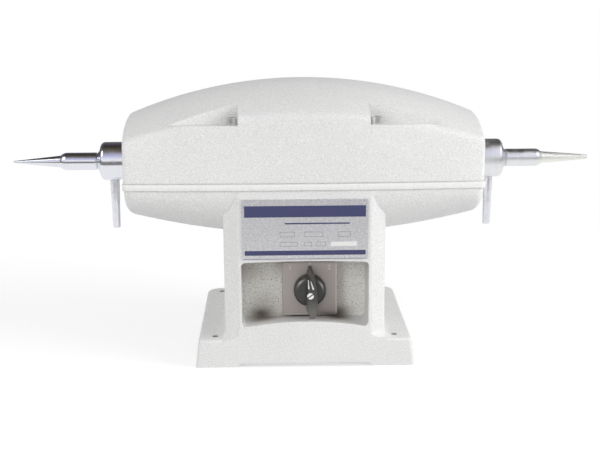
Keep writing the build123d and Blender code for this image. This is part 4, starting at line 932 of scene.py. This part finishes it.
def dull_point(material):
    """Towards the spindle's point the chrome is rougher and a little yellow."""
    tree = material.node_tree
    share = fade(tree, xyz(tree, object_place(tree))["X"], *point_fade)
    rough = tree.nodes["Principled BSDF"].inputs["Roughness"]
    tree.links.new(math_node(tree, "ADD", rough.links[0].from_socket, times(tree, share, point_rough)), rough)
    wear(material, times(tree, share, point_share), point_tone)


def slot_shade(tree):
    """Painted shade: 1 in the slot of the knob's screw, and on all else that lies behind the front of its
    head.
    """
    return fade(tree, xyz(tree, object_place(tree))["Y"], *slot_shade_fade)


dull_point(worn_point)
# Painted shade in the slot of the knob's screw.
wear(nickel, slot_shade(nickel.node_tree), slot_shade_tone)
print("worn metals:", worn_point.name, "and", nickel.name)

# %% [markdown]
# ## Plastics, felt and sleeves
# The switch knob and the cable gland are black mouldings with a low gloss; inside there are nylon, felt and
# the sleeves of the leads. They could be plain colours. All of them take the grain effect at their own size
# instead, so none is one flat colour.

# %% Plastics, felt and sleeves
def moulding(name, dark, light, rough, size, depth, gloss=0.5):
    """A moulded or soft material: its grain of the given size moves colour and roughness, and dents it by
    depth."""
    material, tree, shader, where = finish(name, Specular_IOR_Level=gloss)
    grain = effect(tree, "grain", Vector=where, Size=size)
    tree.links.new(blend_colour(tree, grain["Speckle"], dark, light), shader.inputs["Base Color"])
    tree.links.new(fade(tree, grain["Cloud"], 0, 1, rough * 0.85, rough * 1.2), shader.inputs["Roughness"])
    dent(tree, shader, grain["Height"], depth)
    return material


# Each call: name, dark and light tone, roughness, size of the grain and its depth in metres.
black = ((0.020, 0.020, 0.021), (0.036, 0.036, 0.037))
knob_black = moulding("knob_black", (0.040, 0.039, 0.036), (0.072, 0.070, 0.065), 0.24, 0.0006, 0.00002)
gland_black = moulding("gland_black", *black, 0.42, 0.0005, 0.00005)
switch_black = moulding("switch_black", *black, 0.38, 0.0005, 0.00004)
nylon = moulding("nylon", (0.62, 0.61, 0.56), (0.76, 0.75, 0.70), 0.45, 0.0008, 0.00004)
cage_nylon = moulding("cage_nylon", (0.30, 0.19, 0.10), (0.46, 0.31, 0.18), 0.45, 0.0006, 0.00004)
felt = moulding("felt", (0.55, 0.52, 0.46), (0.78, 0.75, 0.69), 0.95, 0.0004, 0.0003, gloss=0.1)
capacitor_case = moulding("capacitor_case", (0.66, 0.67, 0.69), (0.78, 0.79, 0.81), 0.36, 0.0010, 0.00003)
sleeve = moulding("lead_sleeve", (0.03, 0.03, 0.03), (0.07, 0.07, 0.07), 0.6, 0.0005, 0.00008)
print("materials so far:", len(bpy.data.materials))

# %% [markdown]
# ## Painted light on the knob
# Two arcs of the knob's rim carry painted highlights, and the lower half of its handle a painted grey
# reflection. Such marks could be thin pieces of mesh, but they have no edge of their own. Masks round the
# knob's axis blend their tones into the black.

# %% Painted light on the knob
knob_rim_radius, knob_rim_width, knob_rim_depth = 0.0116, 0.0008, 0.0145
# Painted highlights on two arcs of the knob's rim.
glint_places, glint_reach = ((-0.0084, 0.0080), (0.0102, 0.0056)), (0.0036, 0.003, 0.0036)
painted_glint_tone = (0.62, 0.60, 0.57)
# Painted reflection on the lower half of the knob's handle.
reflection_fade, reflection_share = (knob_z - 0.003, knob_z - 0.017), 0.8
handle_fade = (knob_front + 0.012, knob_front + 0.008)
painted_reflection_tone = (0.21, 0.20, 0.175)


def rim_glints(tree):
    """Painted highlights, 1 on two arcs of the knob's rounded rim: a ring round its axis, near two points
    of it.
    """
    where = object_place(tree)
    off_axis = distance(tree, stretched(tree, where, (1, 0, 1)), (knob_x, 0, knob_z))
    off_rim = math_node(tree, "SUBTRACT", off_axis, knob_rim_radius)
    away = math_node(tree, "DIVIDE", off_rim, knob_rim_width)
    ring = bell(tree, times(tree, away, away))
    centres = [(knob_x + u, knob_front + knob_rim_depth, knob_z + w) for u, w in glint_places]
    spots = [stain(tree, where, centre, glint_reach) for centre in centres]
    return math_node(tree, "MULTIPLY", ring, math_node(tree, "MAXIMUM", *spots), clamp=True)


def handle_reflection(tree):
    """A painted reflection, up to its share on the lower half of the knob's handle: it grows downwards from
    the axis, and only ahead of the disc."""
    _, y, z = xyz(tree, object_place(tree))
    return times(tree, fade(tree, z, *reflection_fade, high=reflection_share), fade(tree, y, *handle_fade))


# Painted highlights on two arcs of the rim.
wear(knob_black, rim_glints(knob_black.node_tree), painted_glint_tone)
# A painted reflection on the lower half of the handle.
wear(knob_black, handle_reflection(knob_black.node_tree), painted_reflection_tone)
print("knob:", len(knob_black.node_tree.nodes), "nodes")

# %% [markdown]
# ## Plates and inks
# The switch plate is grey, with painted highlights along two edges and grease and painted shade on its lower
# one, and the nameplate is a foil with a fine grain. Both could be one tinted metal. But the grey coat has
# little gloss, so the plate and the inks take the moulding recipe, and only the foil is a metal. The white
# ink also makes the painted glints on the knob's handle.

# %% Plates and inks
(_, _, plate_low), (plate_right, _, _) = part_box("switch_plate")
right_fade = (plate_right - 0.0016, plate_right - 0.0011)
low_fade = (plate_low + 0.0016, plate_low + 0.0011)
patch_scale, patch_low = 90.0, 0.65
# Painted highlight along the plate's right and lower bevels.
edge_highlight_tone = (0.86, 0.83, 0.80)
# Grease and painted shade on the plate's lower edge, at the right.
plate_grease_and_shade_centre, plate_grease_and_shade_reach = (0.0215, -0.042, 0.0330), (0.0115, 0.01, 0.0042)
plate_grease_and_shade_tone = (0.06, 0.05, 0.045)
foil_lines = (500.0, 500.0, 1400.0)


def plate_edge_highlights(tree):
    """1 along the lower and the right edge of the switch plate, a painted highlight on their bevels, less in
    patches."""
    where = object_place(tree)
    x, _, z = xyz(tree, where)
    edges = math_node(tree, "MAXIMUM", fade(tree, x, *right_fade), fade(tree, z, *low_fade))
    patch = effect(tree, "smudge", Vector=where, Scale=patch_scale)["Mask"]
    return times(tree, edges, fade(tree, patch, 0, 1, low=patch_low))


def plate_grease_and_shade(tree):
    """1 where grease and painted shade darken the plate's lower edge, at the right."""
    return stain(tree, object_place(tree), plate_grease_and_shade_centre, plate_grease_and_shade_reach)


plate_grey = moulding("switch_plate_grey", (0.42, 0.38, 0.365), (0.66, 0.60, 0.58), 0.42, 0.0009, 0.00004)
# Painted highlight on the plate's bevels.
wear(plate_grey, plate_edge_highlights(plate_grey.node_tree), edge_highlight_tone)
# Grease and painted shade on the plate's lower edge.
wear(plate_grey, plate_grease_and_shade(plate_grey.node_tree), plate_grease_and_shade_tone)
foil = ((0.60, 0.597, 0.600), (0.93, 0.927, 0.92))
plate_foil = metal("nameplate_foil", *foil, 0.45, foil_lines, 0.000004, 0.10)
navy_ink = moulding("navy_ink", (0.040, 0.045, 0.120), (0.065, 0.070, 0.165), 0.45, 0.0006, 0.00001)
grey_ink = moulding("grey_ink", (0.20, 0.17, 0.17), (0.30, 0.27, 0.27), 0.5, 0.0006, 0.00001)
white_ink_and_glints = moulding("white_ink_and_glints", (0.78, 0.78, 0.77), (0.88, 0.88, 0.87), 0.5, 0.0006, 0.00001)
print("materials so far:", len(bpy.data.materials))

# %% [markdown]
# ## Which piece wears which finish
# Every CAD node and every new piece gets a finish. They could be given one by one. A table by kind of piece
# is shorter: a left and a right piece share a row, apart from the chromed ones that are worn on the right.

# %% Wear the finishes
wears = {
    paint_body: ["body_casting"],
    paint_cover: ["top_cover"],
    chrome_x: ["lever_collar_left", "push_ring_left", "taper_spindle_left"],
    chrome_z: ["ejector_lever"],
    worn_x: ["lever_collar_right", "push_ring_right"],
    worn_point: ["taper_spindle_right"],
    zinc: [
        "cover_screws", "cover_washers", "tie_bolts", "tie_nuts",
        "motor_screws", "switch_screws", "fitting_screws", "plate_screws",
    ],
    nickel: ["knob_screw"],
    aluminium: ["end_bell", "rotor_cage"],
    lamination: ["stator_core", "rotor_core"],
    copper: ["stator_winding"],
    bearing_steel: ["bearing_outer", "bearing_inner", "bearing_balls", "preload_washer", "bearing_shim"],
    cage_nylon: ["bearing_cage"],
    felt: ["dust_seal"],
    shaft_steel: ["rotor_shaft", "switch_spindle"],
    bronze: ["collar_bush"],
    plate_foil: ["nameplate"],
    plate_grey: ["switch_plate"],
    knob_black: ["switch_knob"],
    switch_black: ["switch_body"],
    gland_black: ["cable_gland", "gland_locknut"],
    capacitor_case: ["capacitor"],
    sheet_zinc: ["capacitor_clip", "bottom_plate"],
    nylon: ["terminal_block"],
    sleeve: ["motor_leads", "capacitor_leads"],
}
for material, kinds in wears.items():
    for node, solid in frame["nodes"].items():
        if node in kinds or node.removesuffix("_left").removesuffix("_right") in kinds:
            for piece in (solid, skins.get(node)):
                if piece:
                    piece.data.materials.clear()
                    piece.data.materials.append(material)
# The white ink is print on the plates and painted highlights on the knob's handle.
inked = {navy_ink: [bars], grey_ink: [boxes], white_ink_and_glints: [blank] + figures + glint_strokes}
for ink, pieces in inked.items():
    for piece in pieces:
        piece.data.materials.append(ink)
bare = [
    node for node, solid in frame["nodes"].items()
    if not any(made in wears for made in solid.data.materials)
]
print("without a finish:", bare)

# %% Colour view
scene.view_settings.view_transform = "Standard"
